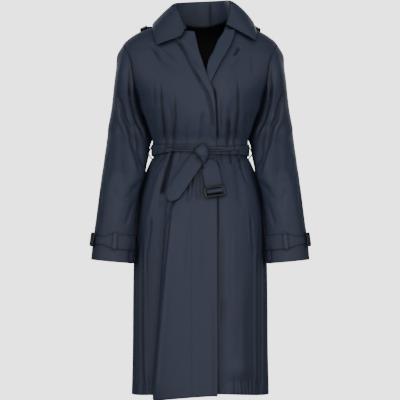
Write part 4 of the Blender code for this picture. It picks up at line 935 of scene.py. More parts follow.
def stitches(path, normals):
    """Small spindles of thread laid end to end along a path on the cloth."""
    index = spread(path, STITCH_PITCH)
    if len(index) < 2:
        return
    centre, normal = at_index(path, index), unit(at_index(normals, index))
    ahead, behind = np.minimum(index + 0.2, len(path) - 1), np.maximum(index - 0.2, 0)
    along = unit(at_index(path, ahead) - at_index(path, behind))
    side = np.cross(along, normal)
    turn = np.linspace(0, 2 * np.pi, STITCH_SIDES, endpoint=False)
    for c, a, s, n in zip(centre, along, side, normal):
        ring = np.cos(turn)[:, None] * s + np.sin(turn)[:, None] * n
        stops = ((-0.5, 0.35, -0.3), (-0.25, 1.0, 0.35), (0.25, 1.0, 0.35), (0.5, 0.35, -0.3))
        SEWN.append([c + a * (x * STITCH_LENGTH) + (ring * r + n * up) * STITCH_RADIUS for x, r, up in stops])


def sew(name):
    """Joins the stitches gathered so far into one piece."""
    rings = np.array(SEWN)
    SEWN.clear()
    total, stops, sides = rings.shape[:3]
    offset = np.arange(total)[:, None, None] * stops * sides
    quads = (grid_faces(stops, sides, closed=True)[None] + offset).reshape(-1, 4)
    caps = []
    for k in range(total):
        first = k * stops * sides
        caps.append([first + i for i in reversed(range(sides))])
        caps.append([first + (stops - 1) * sides + i for i in range(sides)])
    made = make_mesh(name, rings.reshape(-1, 3), [*quads.tolist(), *caps], [thread_material()])


# --- fronts, back and lining -------------------------------------------------------------------------------

DETAIL = 1.0  # share of the full count of rows and columns


def count(full):
    return max(4, round(full * DETAIL))


FLY_STITCHES = (0.0745, 0.0765)  # the covered front's double stitching, in from its free edge
FLY_SPAN = (-0.42, -1.10)  # its top and bottom
EDGE_CURL = 0.0060  # how far the right front's free edge stands off at the hem
EDGE_STAND = 0.0016  # and above the belt
EDGE_STAND_BELOW = 0.0014  # and just below it
EDGE_REACH = 0.013  # how far in from the edge that goes
EDGE_SHADOW = 0.0038  # depth of the left front's trough beside that edge, and its place and width
EDGE_SHADOW_OUT = 0.0030
EDGE_SHADOW_WIDTH = 0.0036
BELT_TOP_Z = -0.372  # between these the belt holds the fronts flat
BELT_BOTTOM_Z = -0.416
SKIRT_TURN_Z = -0.62  # rows are wider apart below this
TOP_ROW_Z = -0.0006  # just under the neck points


def body_rows(shoulder):
    """Heights of a panel's rows: up the skirt and bodice, round the armhole, then the shoulder seam's."""
    skirt = np.linspace(HEM_Z, SKIRT_TURN_Z, count(80), endpoint=False)
    waist = np.linspace(SKIRT_TURN_Z, UNDERARM_Z, count(90), endpoint=False)
    arm = arm_height(np.linspace(0, np.pi, count(56)))
    return np.concatenate([skirt, waist, arm, shoulder])


def hem_blend(rows, low):
    """Moves the rows near the hem so that the lowest one follows it."""
    reach = 0.14
    near = np.clip((HEM_Z + reach - rows) / reach, 0, 1) ** 1.5
    return rows[:, None] + (low - HEM_Z)[None] * near[:, None]


def front_columns(side, z):
    left = side == "left"
    outer = side_angle(np.array(z), "front")
    right_edge, left_edge = edge_x(z, "right_edge"), edge_x(z, "left_edge")
    overlap = overlap_span(z)
    if z > (LEFT_NECK_Z if left else RIGHT_NECK_Z) + 1e-9:
        start = front_neck_x(side, z)
        span = min(overlap, 0.4 * (body_size(np.array(z))[0] - start))
    else:
        start, span = (left_edge + roll_room(z), overlap) if left else (-right_edge, overlap)
    overlap_angles = angle_at(start + span * np.linspace(0, 1, count(40))[:-1], z)
    rest = angle_at(start + span, z)
    return np.concatenate([overlap_angles, np.linspace(rest, outer, count(112))])


def front_form(side):
    """One front's outer skin, as a grid from the wearer's right to the left."""
    left = side == "left"
    neck = -(RIGHT_NECK_Z if not left else LEFT_NECK_Z)
    lower = np.linspace(SHOULDER_Z, -neck, count(12))[1:]
    upper = np.linspace(-neck, 0, count(30))[1:-1]
    rows = body_rows(np.concatenate([lower, upper, [TOP_ROW_Z]]))
    angles = np.array([front_columns(side, z) for z in rows])
    z = np.repeat(rows[:, None], angles.shape[1], 1)
    if not left:
        angles = -angles[:, ::-1]
    low = hem_height(body_base(angles[0], z[0])[:, 0], "front", side)
    z = hem_blend(rows, low)
    x = body_base(angles, z)[..., 0]
    from_edge = edge_x(z, "right_edge") - x
    above = ease((z - BELT_TOP_Z) / 0.014) * ease((-0.200 - z) / 0.03)
    below = ease((BELT_BOTTOM_Z - z) / 0.02)
    if left:
        depth = EDGE_SHADOW * above + (EDGE_SHADOW * 0.8 + EDGE_CURL * 0.4 * ease((-1.02 - z) / 0.1)) * below
        lift = left_layer(x, z) - depth * ridge(from_edge + EDGE_SHADOW_OUT, EDGE_SHADOW_WIDTH)
    else:
        curl = EDGE_STAND * above + (EDGE_STAND_BELOW + EDGE_CURL * ease((-0.45 - z) / 0.65)) * below
        lift = curl * ridge(from_edge, EDGE_REACH)
    return body_skin(angles, z, lift)


def fronts():
    for side in ("right", "left"):
        node = f"{side}_front"
        grid = front_form(side)
        cloth(node, grid, WALL, lined=True)
        if side == "right":
            for from_edge in FLY_STITCHES:
                stitches(*column_line(grid, from_edge, *FLY_SPAN))
    sew("right_front_stitching")


def column_line(grid, from_edge, z_top, z_bottom):
    """A line down a front at an even distance from its free edge."""
    normals = skin_normals(grid.reshape(-1, 3), grid_faces(*grid.shape[:2])).reshape(grid.shape)
    path, normal = [], []
    for row in range(len(grid)):
        z = grid[row, -1, 2]
        if not z_bottom < z < z_top:
            continue
        length = run_length(grid[row, ::-1])
        at = len(length) - 1 - np.interp(from_edge, length, np.arange(len(length)))
        path.append(at_index(grid[row], [at])[0])
        normal.append(at_index(normals[row], [at])[0])
    return np.array(path), unit(np.array(normal))


def back_grid(side, lift=0.0, lined=False):
    neck_rows = -BACK_NECK_DROP * (1 - np.linspace(0, 1, count(22)) ** 2)
    shoulder_rows = np.linspace(SHOULDER_Z, -BACK_NECK_DROP, count(34))[1:-1]
    rows = body_rows(np.concatenate([shoulder_rows, neck_rows[:-1], [TOP_ROW_Z]]))
    columns = count(40 if lined else 60)
    if lined:
        rows = rows[rows >= UNDERARM_Z - 1e-9]
    share = np.linspace(0, LINING_REACH if lined else 1, columns)
    middle = np.pi - angle_at(back_neck_x(rows), rows)
    outer = np.array([side_angle(np.array(z), "back") for z in rows])
    angles = middle[:, None] + (outer - middle)[:, None] * share
    z = np.repeat(rows[:, None], columns, 1)
    angles = angles[:, ::-1] if side == "left" else -angles
    return body_skin(angles, z, lift)


def joined(grids):
    """Several grids as one skin, with points that coincide made one."""
    points, faces, uv, first = [], [], [], 0
    for grid in grids:
        faces.append(grid_faces(*grid.shape[:2]) + first)
        points.append(grid.reshape(-1, 3))
        uv.append(cloth_coordinates(grid))
        first += grid.shape[0] * grid.shape[1]
    points, faces, uv = np.concatenate(points), np.concatenate(faces), np.concatenate(uv)
    _, kept, index = np.unique(np.round(points, 6), axis=0, return_index=True, return_inverse=True)
    return points[kept], index.reshape(-1)[faces], uv[kept]


def back():
    halves = [back_grid(side) for side in ("left", "right")]
    cloth("back", None, WALL, lined=True, skin=joined(halves))
    halves = [back_grid(side, -(WALL + LINING_GAP), lined=True) for side in ("left", "right")]
    cloth("back_lining", None, LINING_WALL, skin=joined(halves))


LAPEL_STAND = 0.0024  # how far the lapel's free edge stands off the front
FACING_SWELL = 0.0010  # and how far its middle swells
ROLL_END = 0.003  # where the lapel is flat again, out from its roll's middle


def left_facing():
    """The left front's facing, turned back over the front's edge as a narrow lapel."""
    rows = []
    top = LEFT_NECK_Z - 0.0005
    for z in np.linspace(LAPEL_BOTTOM_Z, top, count(80)):
        roll = float(edge_x(z, "left_edge")) + ROLL_RADIUS
        free = float(through([r[0] for r in LAPEL_FREE], [r[1] for r in LAPEL_FREE], z))
        middle = -WALL / 2
        inside = middle - ROLL_RADIUS - LAYER_GAP
        back_edge = roll + 0.3 * overlap_span(z)
        stand = LAPEL_STAND * float(ease((z + 0.19) / 0.05))
        section = [(x, inside) for x in np.linspace(back_edge, roll + ROLL_END, count(10))]
        for turn in np.radians(np.linspace(258, 102, count(18))):
            section.append((roll + ROLL_RADIUS * np.cos(turn), middle + ROLL_RADIUS * np.sin(turn)))
        for t in np.linspace(0, 1, count(24)):
            x = roll + ROLL_END + (free - roll - ROLL_END) * t
            rise = FACING_EASE + FACING_SWELL * np.sin(np.pi * t) + stand * t**3
            section.append((x, middle + ROLL_RADIUS + rise))
        x, lift = np.array(section).T
        rows.append(laid(x, np.full_like(x, z), lift + left_layer(x, np.full_like(x, z))))
    cloth("left_facing", np.array(rows), FACING_WALL)


# --- sleeves -----------------------------------------------------------------------------------------------

# Columns as in SLEEVE_FOLDS
FINE_SLEEVE_FOLDS = (
    # soft runs down to the cuff
    (116, 1.80, 104, 4.20, 0.0110, 0.0024),
    (92, 4.30, 60, 5.40, 0.0090, 0.0020),
    (110, 4.80, 74, 6.20, 0.0090, -0.0023),
    (146, 2.60, 128, 4.60, 0.0090, -0.0029),
    (156, 5.00, 140, 7.20, 0.0090, -0.0026),
    (36, 5.60, 60, 7.40, 0.0080, -0.0029),
    (82, 6.60, 96, 7.60, 0.0090, 0.0014),
    # the hidden side
    (262, 0.30, 248, 2.60, 0.0070, -0.0065),
    (244, 2.40, 286, 4.10, 0.0070, -0.0073),
    (222, 1.00, 236, 3.20, 0.0080, 0.0036),
    (296, 3.40, 318, 4.60, 0.0060, -0.0057),
    (228, 4.80, 250, 6.60, 0.0080, -0.0036),
    (280, 5.20, 262, 7.40, 0.0080, -0.0031),
    (200, 3.60, 214, 6.00, 0.0090, -0.0029),
    (274, -0.60, 262, 0.60, 0.0065, -0.0057),
    (238, -0.70, 250, 0.30, 0.0070, -0.0044),
    (216, -0.50, 226, 1.40, 0.0090, 0.0030),
    (304, 0.40, 290, 2.00, 0.0060, -0.0052),
    (318, 1.60, 300, 2.90, 0.0060, 0.0034),
)
# Longer folds through several places: width, height, and each place's turn and section
LONG_SLEEVE_FOLDS = (
    # along the armhole, down into the armpit and on inside the arm
    (0.0056, -0.0062, (
        (113, -0.99), (93, -0.93), (74, -0.86), (64, -0.45), (58, 0.10), (50, 0.80), (42, 1.60))),
    (0.0050, -0.0030, ((116, -0.85), (82, -0.78), (62, -0.55))),
    # the long fold from the shoulder to the elbow, and the ridge outside it
    (0.0080, -0.0095, (
        (131, -0.42), (120, -0.30), (107, -0.15), (93, 0.38), (81, 1.53), (58, 2.68), (37, 3.75))),
    (0.0095, 0.0040, ((146, -0.38), (123, -0.17), (106, 0.40), (93, 1.58), (73, 2.68), (54, 3.65))),
    # the hollow inside the arm, and the cuff's inner corner
    (0.0130, -0.0060, ((77, -0.17), (69, 0.83), (49, 2.12), (32, 3.10))),
    (0.0080, -0.0066, ((34, 8.50), (31, 9.40), (30, 10.0))),
)
# Soft swells of a sleeve: turn, section, radius and how far out
SLEEVE_SWELLS = (
    (178, -0.84, 0.026, 0.0070),
    (176, 1.10, 0.070, 0.0024),
    (352, -0.25, 0.030, 0.0090),
    (350, 0.45, 0.030, 0.0060),
    (356, 1.40, 0.030, 0.0070),
    (4, 2.30, 0.030, 0.0050),
    (8, -0.84, 0.024, 0.0060),
)
SEAM_TUCK = (0.0, 0.0050)  # how far the sleeve's turned-in edge runs under the armhole
TUCK_DEPTH = 1.2 * WALL
SLEEVE_COLUMNS = 150


def sleeve_fold_height(turn, row):
    out = np.zeros(np.broadcast(turn, row).shape)
    here = sleeve_base(turn, row)
    for turn_top, row_top, turn_bottom, row_bottom, width, height in SLEEVE_FOLDS + FINE_SLEEVE_FOLDS:
        ends = sleeve_base(np.radians([turn_top, turn_bottom]), np.array([row_top, row_bottom]))
        run = ends[1] - ends[0]
        along = np.clip(((here - ends[0]) @ run) / (run @ run), 0, 1)
        turn_line = np.radians(turn_top + (turn_bottom - turn_top) * along)
        line = sleeve_base(turn_line, row_top + (row_bottom - row_top) * along)
        gap = np.linalg.norm(here - line, axis=-1)
        out += height * ridge(gap, width) * ease(along / 0.25) * ease((1 - along) / 0.25)
    for width, height, places in LONG_SLEEVE_FOLDS:
        line = sleeve_base(*(resampled(places, 160) * (math.pi / 180, 1)).T)
        gap = np.linalg.norm(here[..., None, :] - line, axis=-1)
        along, gap = gap.argmin(-1) / 159, gap.min(-1)
        out += height * ridge(gap, width) * ease(along / 0.28) * ease((1 - along) / 0.15)
    for turn_middle, row_middle, radius, height in SLEEVE_SWELLS:
        gap = np.linalg.norm(here - sleeve_base(math.radians(turn_middle), row_middle), axis=-1)
        out += height * ridge(gap, radius)
    return out


def sleeves():
    turn = np.linspace(0, 2 * np.pi, count(SLEEVE_COLUMNS), endpoint=False)
    rows = np.concatenate([np.linspace(-1, 0, count(44), endpoint=False), np.linspace(0, 10, count(118))])
    turns, rows = np.meshgrid(turn, rows)
    grid = sleeve_skin(turns, rows)
    inner_edge = sleeve_skin(turn, np.full_like(turn, -1.0), -TUCK_DEPTH)
    back = unit(grid[0] - grid[1])
    tucked = [inner_edge + back * run for run in SEAM_TUCK]
    grid = np.concatenate([grid[::-1], tucked])  # rows from the cuff up
    for side in ("left", "right"):
        points = on_side(side, grid)
        cloth(f"{side}_sleeve", points, WALL, lined=True, closed=True, flip=side == "right")


# --- collar and hood ---------------------------------------------------------------------------------------

STITCH_INSET = 0.0095  # topstitching, in from a collar edge
STITCH_DENT = 0.0011  # how deep it draws the cloth in
HEM_SWELL = 0.0005  # how full the cloth is between it and the edge
LEAF_FULLNESS = 0.0196  # how far the right leaf's front edge bows out between its ends
LEAF_FULL_REACH = 0.034
LEAF_CORNER = 0.27  # where along it the bow is fullest, from the roll line
LEAF_CORNER_LIFT = 0.12  # how far the bow stands off the chest, as a share of itself


def collar_grid():
    """The fall's skin from its free edge up to the roll line."""
    table = collar_table(count(130))
    roll, edge, arch = np.stack(table[:3], -1), np.stack(table[3:6], -1), table[6]
    run = unit(np.gradient(roll, axis=0))
    down = edge - roll
    out = unit(np.cross(down, run))
    from_neck = roll * np.array([1, 1, 0]) + np.array([0, 0, 0.02])
    out = out * np.sign((out * from_neck).sum(-1, keepdims=True))
    from_start = run_length(roll)
    full = (LEAF_FULLNESS * np.exp(-from_start / LEAF_FULL_REACH))[:, None]
    rows = []
    for share in np.linspace(1, 0, count(30)):
        bulge = arch * (4 * share * (1 - share)) ** 0.7
        ends = (share / LEAF_CORNER, (1 - share) / (1 - LEAF_CORNER))
        bow = full * ends[0] * ends[1] / (ends[0] ** 6 + ends[1] ** 6 + 1e-9) ** (1 / 6)
        rows.append(roll + down * share + out * (bulge[:, None] + LEAF_CORNER_LIFT * bow)
                    - np.cross(unit(down), out) * bow)
    grid = np.array(rows)
    normals = grid_normals(grid)
    width = np.linalg.norm(down, axis=-1)
    share = np.linspace(1, 0, len(grid))[:, None]
    length = run_length(edge)
    to_edge = (1 - share) * width
    to_end = np.minimum(length, length[-1] - length)[None]
    inset = np.minimum(to_edge, to_end)
    dent = -STITCH_DENT * ridge(inset - STITCH_INSET, 0.0018)
    swell = HEM_SWELL * ridge(inset - STITCH_INSET / 2, 0.0035)
    return grid + normals * (dent + swell)[..., None], normals


def collar():
    grid, normals = collar_grid()
    cloth("collar_fall", grid, COLLAR_WALL)
    rows, columns = grid.shape[:2]
    ends = run_length(grid[0])
    first, last = (int(np.searchsorted(ends, place)) for place in (STITCH_INSET, ends[-1] - STITCH_INSET))
    inset = [np.interp(STITCH_INSET, run_length(grid[:, c]), np.arange(rows)) for c in range(columns)]
    along = range(first, last + 1)  # in from the free edge, then up both ends
    path, normal = (np.array([at_index(v[:, c], [inset[c]])[0] for c in along]) for v in (grid, normals))
    stitches(path, unit(normal))
    for c in (first, last):
        up = slice(int(inset[c]), rows - 2)
        stitches(grid[up, c], unit(normals[up, c]))
    sew("collar_stitching")
    cloth("collar_stand", stand_grid(), COLLAR_WALL)


STAND_GAP_REACH = 0.085
# How its right end bends in a hollow and a roll: place between neckline and roll line, width and depth
STAND_GAPS = ((0.91, 0.05, 0.0070), (0.64, 0.14, -0.0100))
STAND_SEAM_X = 0.0275  # its seam at the back
STAND_SEAM_DEPTH = 0.0060
STAND_SEAM_WIDTH = 0.0032
STAND_SWELL = 0.0016  # how far it swells beside the seam
STAND_CLEARANCE = 0.001  # between it and the fall over it


def stand_grid():
    """The band that holds the collar up, with the soft crease of its seam at the back."""
    stations = count(170)
    roll_x, roll_y, roll_z = collar_table(stations)[:3]
    base = neckline(stations)
    inwards = unit(np.stack([-base[:, 0], 0.01 - base[:, 1], 0 * base[:, 0]], -1))
    base = base + inwards * STAND_INSET + np.array([0, 0, STAND_RISE])
    top = np.stack([roll_x, roll_y, roll_z], -1)
    inner = unit(np.stack([-roll_x, 0.01 - roll_y, 0 * roll_x], -1))
    top = top + inner * (COLLAR_WALL + STAND_CLEARANCE)
    behind = top[:, 1] > 0
    from_start = run_length(top)
    near = ease((STAND_GAP_REACH - from_start) / 0.025)
    rows = []
    for share in np.linspace(0, 1, count(38)):
        row = base + (top - base) * share
        gap = near * sum(d * ridge(share - at, w) for at, w, d in STAND_GAPS)
        crease = behind * STAND_SEAM_DEPTH * ridge(row[:, 0] - STAND_SEAM_X, STAND_SEAM_WIDTH)
        swell = behind * STAND_SWELL * ridge(row[:, 0] + 0.020, 0.018)
        bend = ((crease - swell) * np.sin(np.pi * share) ** 0.5 + gap * ease((1 - share) / 0.06))[:, None]
        rows.append(row - inner * bend)
    return np.array(rows)


HOOD_CORNER_RISE = 0.0060  # how much higher the hood's front corners lie on the shoulders
HOOD_EDGE_STAND = 0.0105  # how far the hood's front edge stands up beside the collar
# Creases round the laid-back hood: share of the way down, width and height
HOOD_CREASES = ((0.30, 0.035, -0.0030), (0.52, 0.05, 0.0024), (0.74, 0.03, -0.0028))


def hood_rows(columns):
    """The left half of the laid-back hood: its inner layer down, the fold, its outer layer up."""
    out = np.linspace(HOOD[0][0], HOOD[-1][0], columns)
    top, bottom, swell = (column(HOOD, HOOD_COLUMNS, name, out) for name in HOOD_COLUMNS[1:])
    rows = []
    corner = HOOD_CORNER_RISE * ease((out - 0.10) / 0.05)
    stand = HOOD_EDGE_STAND * ease((out - 0.115) / 0.03)

    def layer_row(share, lift):
        lift = lift + corner * ease(1 - share / 0.5)
        row = laid(out, top + (bottom - top) * share, lift, "back")
        return row + np.multiply.outer(stand * ease(1 - share / 0.35), (0, 0, 1))

    for share in np.linspace(0, 0.96, count(34)):
        rows.append(layer_row(share, HOOD_SEAM_GAP + (HOOD_GAP - HOOD_SEAM_GAP) * ease(share / 0.14)))
    for turn in np.linspace(0, np.pi, count(12))[1:-1]:
        drop = bottom - HOOD_FOLD_RADIUS * np.sin(turn)
        lift = HOOD_GAP + HOOD_FOLD_RADIUS * (1 - np.cos(turn))
        rows.append(laid(out, drop, lift, "back"))
    for share in np.linspace(0.985, 0.05, count(44)):
        bulge = swell * np.sin(np.pi * share) ** 0.8 + 0.35 * swell * (1 - share)
        crease = 0
        for middle, width, depth in HOOD_CREASES:
            at = middle + 0.05 * np.sin(out * 22 + middle * 9)
            crease = crease + depth * ridge(share - at, width) * ease((0.165 - out) / 0.05)
        lift = HOOD_GAP + 2 * HOOD_FOLD_RADIUS + bulge + crease * np.minimum(1, swell / 0.02)
        rows.append(layer_row(share, lift))
    return np.array(rows)


def hood():
    grid = hood_rows(count(64))
    for side in ("left", "right"):
        points = on_side(side, grid)
        cloth(f"hood_{side}", points, WALL, flip=side == "left")
        stopper(side)


def tube(name, path, radii, sides, made_of):
    """A round rod or thread along a path, closed at both ends."""
    path = np.array(path, float)
    along = unit(np.gradient(path, axis=0))
    side = unit(np.cross(along, np.array([0.3, 0.2, 0.93])))
    other = np.cross(along, side)
    turn = np.linspace(0, 2 * np.pi, sides, endpoint=False)
    ring = side[:, None] * np.cos(turn)[:, None] + other[:, None] * np.sin(turn)[:, None]
    points = (path[:, None] + ring * np.reshape(radii, (-1, 1, 1))).reshape(-1, 3)
    faces = grid_faces(len(path), sides, closed=True).tolist()
    last = (len(path) - 1) * sides
    faces += [list(reversed(range(sides))), [last + i for i in range(sides)]]
    return make_mesh(name, points, faces, [made_of])


# A cord end's turned outline: share of the way along it, and radius as a share of the full one
STOPPER_PROFILE = (
    (0.000, 0.10), (0.000, 0.62), (0.015, 0.82), (0.060, 0.97), (0.120, 1.00), (0.160, 0.96),
    (0.200, 0.86), (0.500, 0.85), (0.800, 0.86),
    (0.840, 0.96), (0.880, 1.00), (0.940, 0.97), (0.985, 0.82), (1.000, 0.62), (1.000, 0.10),
)


def stopper(side):
    """A turned metal cord end at the hood's front corner."""
    sign = 1 if side == "left" else -1
    start, end = (np.array((sign * x, y, z + HOOD_CORNER_RISE)) for x, y, z in STOPPER_ENDS)
    path = [start + (end - start) * (t + 1e-4 * i) for i, (t, _) in enumerate(STOPPER_PROFILE)]
    radii = [STOPPER_RADIUS * r for _, r in STOPPER_PROFILE]
    made = tube(f"hood_stopper_{side}_turned", path, radii, 28, metal_material())
    stands_for(f"hood_stopper_{side}")


# --- belt --------------------------------------------------------------------------------------------------

# Pleats of the gathered belt: angle round the waist, its width, place across the belt and depth
BELT_PLEATS = (
    (-26, 20, 0.45, 0.16, -0.0030),
    (-20, 16, -0.35, 0.14, -0.0026),
    (-34, 14, 0.05, 0.12, 0.0012),
    (-50, 16, -0.10, 0.16, -0.0012),
    (22, 17, -0.42, 0.16, -0.0032),
    (16, 14, 0.30, 0.14, -0.0024),
    (34, 14, 0.10, 0.14, 0.0012),
    (46, 16, -0.15, 0.16, -0.0012),
)
BELT_CROWN = 0.0007  # how much fuller the belt is along its middle
STRAP_CROWN = 0.0003  # and a cuff strap
EDGE_STITCH = 0.0042  # topstitching in from the belt's edges
STRAP_STITCH = 0.0036  # and from a cuff strap's


def belt():
    turns = np.linspace(-180, 180, count(280), endpoint=False)
    centre, half = (column(BELT, BELT_COLUMNS, name, turns) for name in ("centre", "half"))
    rows = []
    for share in np.linspace(-1, 1, count(19)):
        lift = BELT_GAP + BELT_WALL + BELT_CROWN * (1 - share * share)
        pleat = 0.0
        for angle, reach, place, width, depth in BELT_PLEATS:
            near = ridge(turns - angle, reach)
            pleat = pleat + depth * near * ridge(share - place, width)
        lift = lift + np.maximum(pleat, -BELT_WALL * 0.9)
        rows.append(body_skin(np.radians(turns), centre + half * share, lift))
    grid = np.array(rows)
    cloth("belt_band", grid, BELT_WALL, closed=True)
    wrapped = np.concatenate([grid, grid[:, :1]], 1)
    strip_stitches(wrapped, EDGE_STITCH)
    sew("belt_stitching")


def strip_stitches(grid, inset, first=0, last=None):
    """Stitches along both long edges of a strip whose rows run across its width."""
    normals = grid_normals(grid)
    for flipped in (False, True):
        path, normal = [], []
        for c in range(grid.shape[1])[first:last]:
            line = grid[::-1, c] if flipped else grid[:, c]
            side = normals[::-1, c] if flipped else normals[:, c]
            length = run_length(line)
            at = np.interp(min(inset, length[-1] / 2), length, np.arange(len(length)))
            path.append(at_index(line, [at])[0])
            normal.append(at_index(side, [at])[0])
        stitches(np.array(path), unit(np.array(normal)))


# Creases from the knot's foot: place across it, slant, width, share of its height they reach, and depth
KNOT_CREASES = ((0.62, -0.50, 0.14, 0.60, -0.0012), (-0.30, 0.20, 0.12, 0.50, -0.0008))
KNOT_FULLNESS = 3.4  # the power of its dome: higher is flatter on top
# The knot, from its pointed foot up. Its sides clear the belt's ends at the foot and lie on the belt above.
# Columns: x, z, half width, how far its face stands out, and its sides' lift
KNOT_FACE = (
    (0.0118, -0.4372, 0.0016, 0.0020, 0.0078),
    (0.0101, -0.4313, 0.0066, 0.0062, 0.0084),
    (0.0093, -0.4240, 0.0110, 0.0094, 0.0092),
    (0.0081, -0.4166, 0.0142, 0.0112, 0.0096),
    (0.0056, -0.4078, 0.0178, 0.0130, 0.0090),
    (0.0028, -0.3992, 0.0205, 0.0144, 0.0068),
    (0.0038, -0.3910, 0.0182, 0.0150, 0.0046),
    (0.0057, -0.3840, 0.0128, 0.0122, 0.0040),
    (0.0072, -0.3785, 0.0068, 0.0072, 0.0039),
    (0.0078, -0.3755, 0.0030, 0.0040, 0.0039),
)
# The plain end, from its tip up to the knot: x, z, half width and lift off the coat
PLAIN_TAIL_FACE = (
    (-0.0905, -0.5445, 0.0060, 0.0090),
    (-0.0885, -0.5410, 0.0115, 0.0090),
    (-0.0830, -0.5330, 0.0180, 0.0090),
    (-0.0765, -0.5235, 0.0215, 0.0090),
    (-0.0560, -0.4930, 0.0216, 0.0085),
    (-0.0330, -0.4585, 0.0216, 0.0080),
    (-0.0160, -0.4328, 0.0214, 0.0074),
    (-0.0085, -0.4205, 0.0200, 0.0066),
    (-0.0030, -0.4110, 0.0140, 0.0056),
    (0.0005, -0.4050, 0.0060, 0.0050),
)


def knot():
    """The knot's outer turn of cloth, full and smooth, with a soft pull towards its foot."""
    stations = resampled(KNOT_FACE, count(60))
    side = np.linspace(-1, 1, count(52))
    rows = []
    for i, (x, z, half, bulge, lift) in enumerate(stations):
        along = i / (len(stations) - 1)
        dome = (1 - np.abs(side) ** KNOT_FULLNESS) ** 0.62
        crease = sum(
            depth * ridge(side - place - slant * along, width) * ease((end - along) / 0.3)
            for place, slant, width, end, depth in KNOT_CREASES
        )
        rows.append(hung(x + half * side, np.full_like(side, z), lift + bulge * dome + crease))
    cloth("belt_knot", np.array(rows), KNOT_WALL)

TAIL_DOME = 0.0016  # how far the plain end's middle stands out, and how deep its trough is
TAIL_WAVE = 0.0007


def plain_tail():
    stations = resampled(PLAIN_TAIL_FACE, count(72))
    grid = hung_strip(stations, count(21))
    side = np.linspace(-1, 1, grid.shape[1])[None]
    along = np.linspace(0, 1, grid.shape[0])[:, None]
    out = grid_normals(grid)
    trough = ridge(side - 0.1 + 0.3 * along, 0.22) * ease((along - 0.45) / 0.4)
    bend = TAIL_DOME * (np.cos(side * np.pi / 2) - trough) + TAIL_WAVE * np.sin(along * 9 + side * 2)
    grid = grid + out * bend[..., None]
    cloth("belt_tail_plain", grid, BELT_WALL)
    strip_stitches(np.swapaxes(grid, 0, 1)[::-1], EDGE_STITCH, 6, -6)
    sew("belt_tail_plain_stitching")

# Creases of the buckle's end: place across it, slant, width, share of its height they start at, and depth
TAIL_CREASES = ((-0.25, 0.2, 0.2, 0.25, -0.0014), (0.40, 0.0, 0.16, 0.35, -0.0012))


def buckle_tail():
    """The belt's other end: down from the knot and round the buckle's middle bar."""
    centre, across, up, out = buckle_axes()
    half = BUCKLE_TAIL[0][2]
    share = np.linspace(-1, 1, count(21))
    path = resampled(TAIL_END, count(56))
    loop = [centre + across[None] * (half * share)[:, None] + up * v + out * n for v, n in path]
    strip = hung_strip(resampled(BUCKLE_TAIL, count(44)), len(share))
    along = np.linspace(0, 1, len(strip))[:, None]
    crease = sum(
        depth * ridge(share - place - slant * along, width) * ease((along - start) / 0.4)
        for place, slant, width, start, depth in TAIL_CREASES
    )
    strip = strip + grid_normals(strip) * crease[..., None]
    grid = np.concatenate([np.array(loop), strip])
    cloth("belt_tail_buckle", grid, BELT_WALL)
    strip_stitches(np.swapaxes(grid, 0, 1)[::-1], EDGE_STITCH, len(loop), -8)
    sew("belt_tail_buckle_stitching")


def frame_mesh(name, node, centre, across, up, size, bars):
    """A buckle: a rounded frame with one or more bars across it, all with soft edges."""
    width, height, bar, thickness = size
    out = np.cross(across, up)
    radius = min(width, height) * 0.16
    corner = np.radians(np.linspace(0, 90, 9))
    path = []
    half_w, half_h = (width - bar) / 2, (height - bar) / 2
    for k, (sx, sy) in enumerate(((1, 1), (-1, 1), (-1, -1), (1, -1))):
        middle = np.array([sx * (half_w - radius), sy * (half_h - radius)])
        path += [middle + radius * np.array([np.cos(a), np.sin(a)]) for a in corner + np.radians(90 * k)]
    path = np.array(path)
    turn = np.linspace(0, 2 * np.pi, 20, endpoint=False)
    power = 0.6
    section_a = np.sign(np.cos(turn)) * np.abs(np.cos(turn)) ** power * bar / 2
    section_b = np.sign(np.sin(turn)) * np.abs(np.sin(turn)) ** power * thickness / 2
    ahead, behind = np.roll(path, -1, 0), np.roll(path, 1, 0)
    along = unit(ahead - behind)
    outwards = np.stack([along[:, 1], -along[:, 0]], -1)
    flat = path[:, None] + outwards[:, None] * section_a[None, :, None]
    points = centre + flat[..., 0, None] * across + flat[..., 1, None] * up + section_b[None, :, None] * out
    rows, sides = points.shape[:2]
    index = np.arange(rows)[:, None] * sides
    nxt = ((np.arange(rows) + 1) % rows)[:, None] * sides
    c = np.arange(sides)
    d = (c + 1) % sides
    faces = np.stack([index + c, nxt + c, nxt + d, index + d], -1).reshape(-1, 4)
    all_points, all_faces = [points.reshape(-1, 3)], faces.tolist()
    first = rows * sides
    for start, end, half in bars:
        start, end = np.array(start), np.array(end)
        direction = unit(end - start)
        side = np.stack([direction[1], -direction[0]])
        ring_a, ring_b = np.cos(turn) * half, np.sin(turn) * thickness * 0.42
        for place in (start, end):
            flat = place + side * ring_a[:, None]
            all_points.append(centre + flat[:, :1] * across + flat[:, 1:] * up + ring_b[:, None] * out)
        for i in range(sides):
            j = (i + 1) % sides
            all_faces.append([first + i, first + j, first + sides + j, first + sides + i])
        all_faces.append([first + i for i in reversed(range(sides))])
        all_faces.append([first + sides + i for i in range(sides)])
        first += 2 * sides
    made = make_mesh(name, np.concatenate(all_points), all_faces, [buckle_material()])
    stands_for(node)


# How much fuller a moulded frame is than the plain one: width and height over all, bar and thickness
BUCKLE_ROUND = (0.0, 0.0, 0.0016, 0.0008)
CUFF_BUCKLE_ROUND = (0.001, 0.001, 0.0026, 0.0012)


def belt_buckle():
    width, _, bar, _ = BUCKLE_SIZE
    centre, across, up, _ = buckle_axes()
    reach = width / 2 - bar / 2
    bars = [((-reach, 0.0), (reach, 0.0), BUCKLE_BAR_HALF)]
    size = np.add(BUCKLE_SIZE, BUCKLE_ROUND)
    frame_mesh("belt_buckle_frame", "belt_buckle", centre, across, up, size, bars)


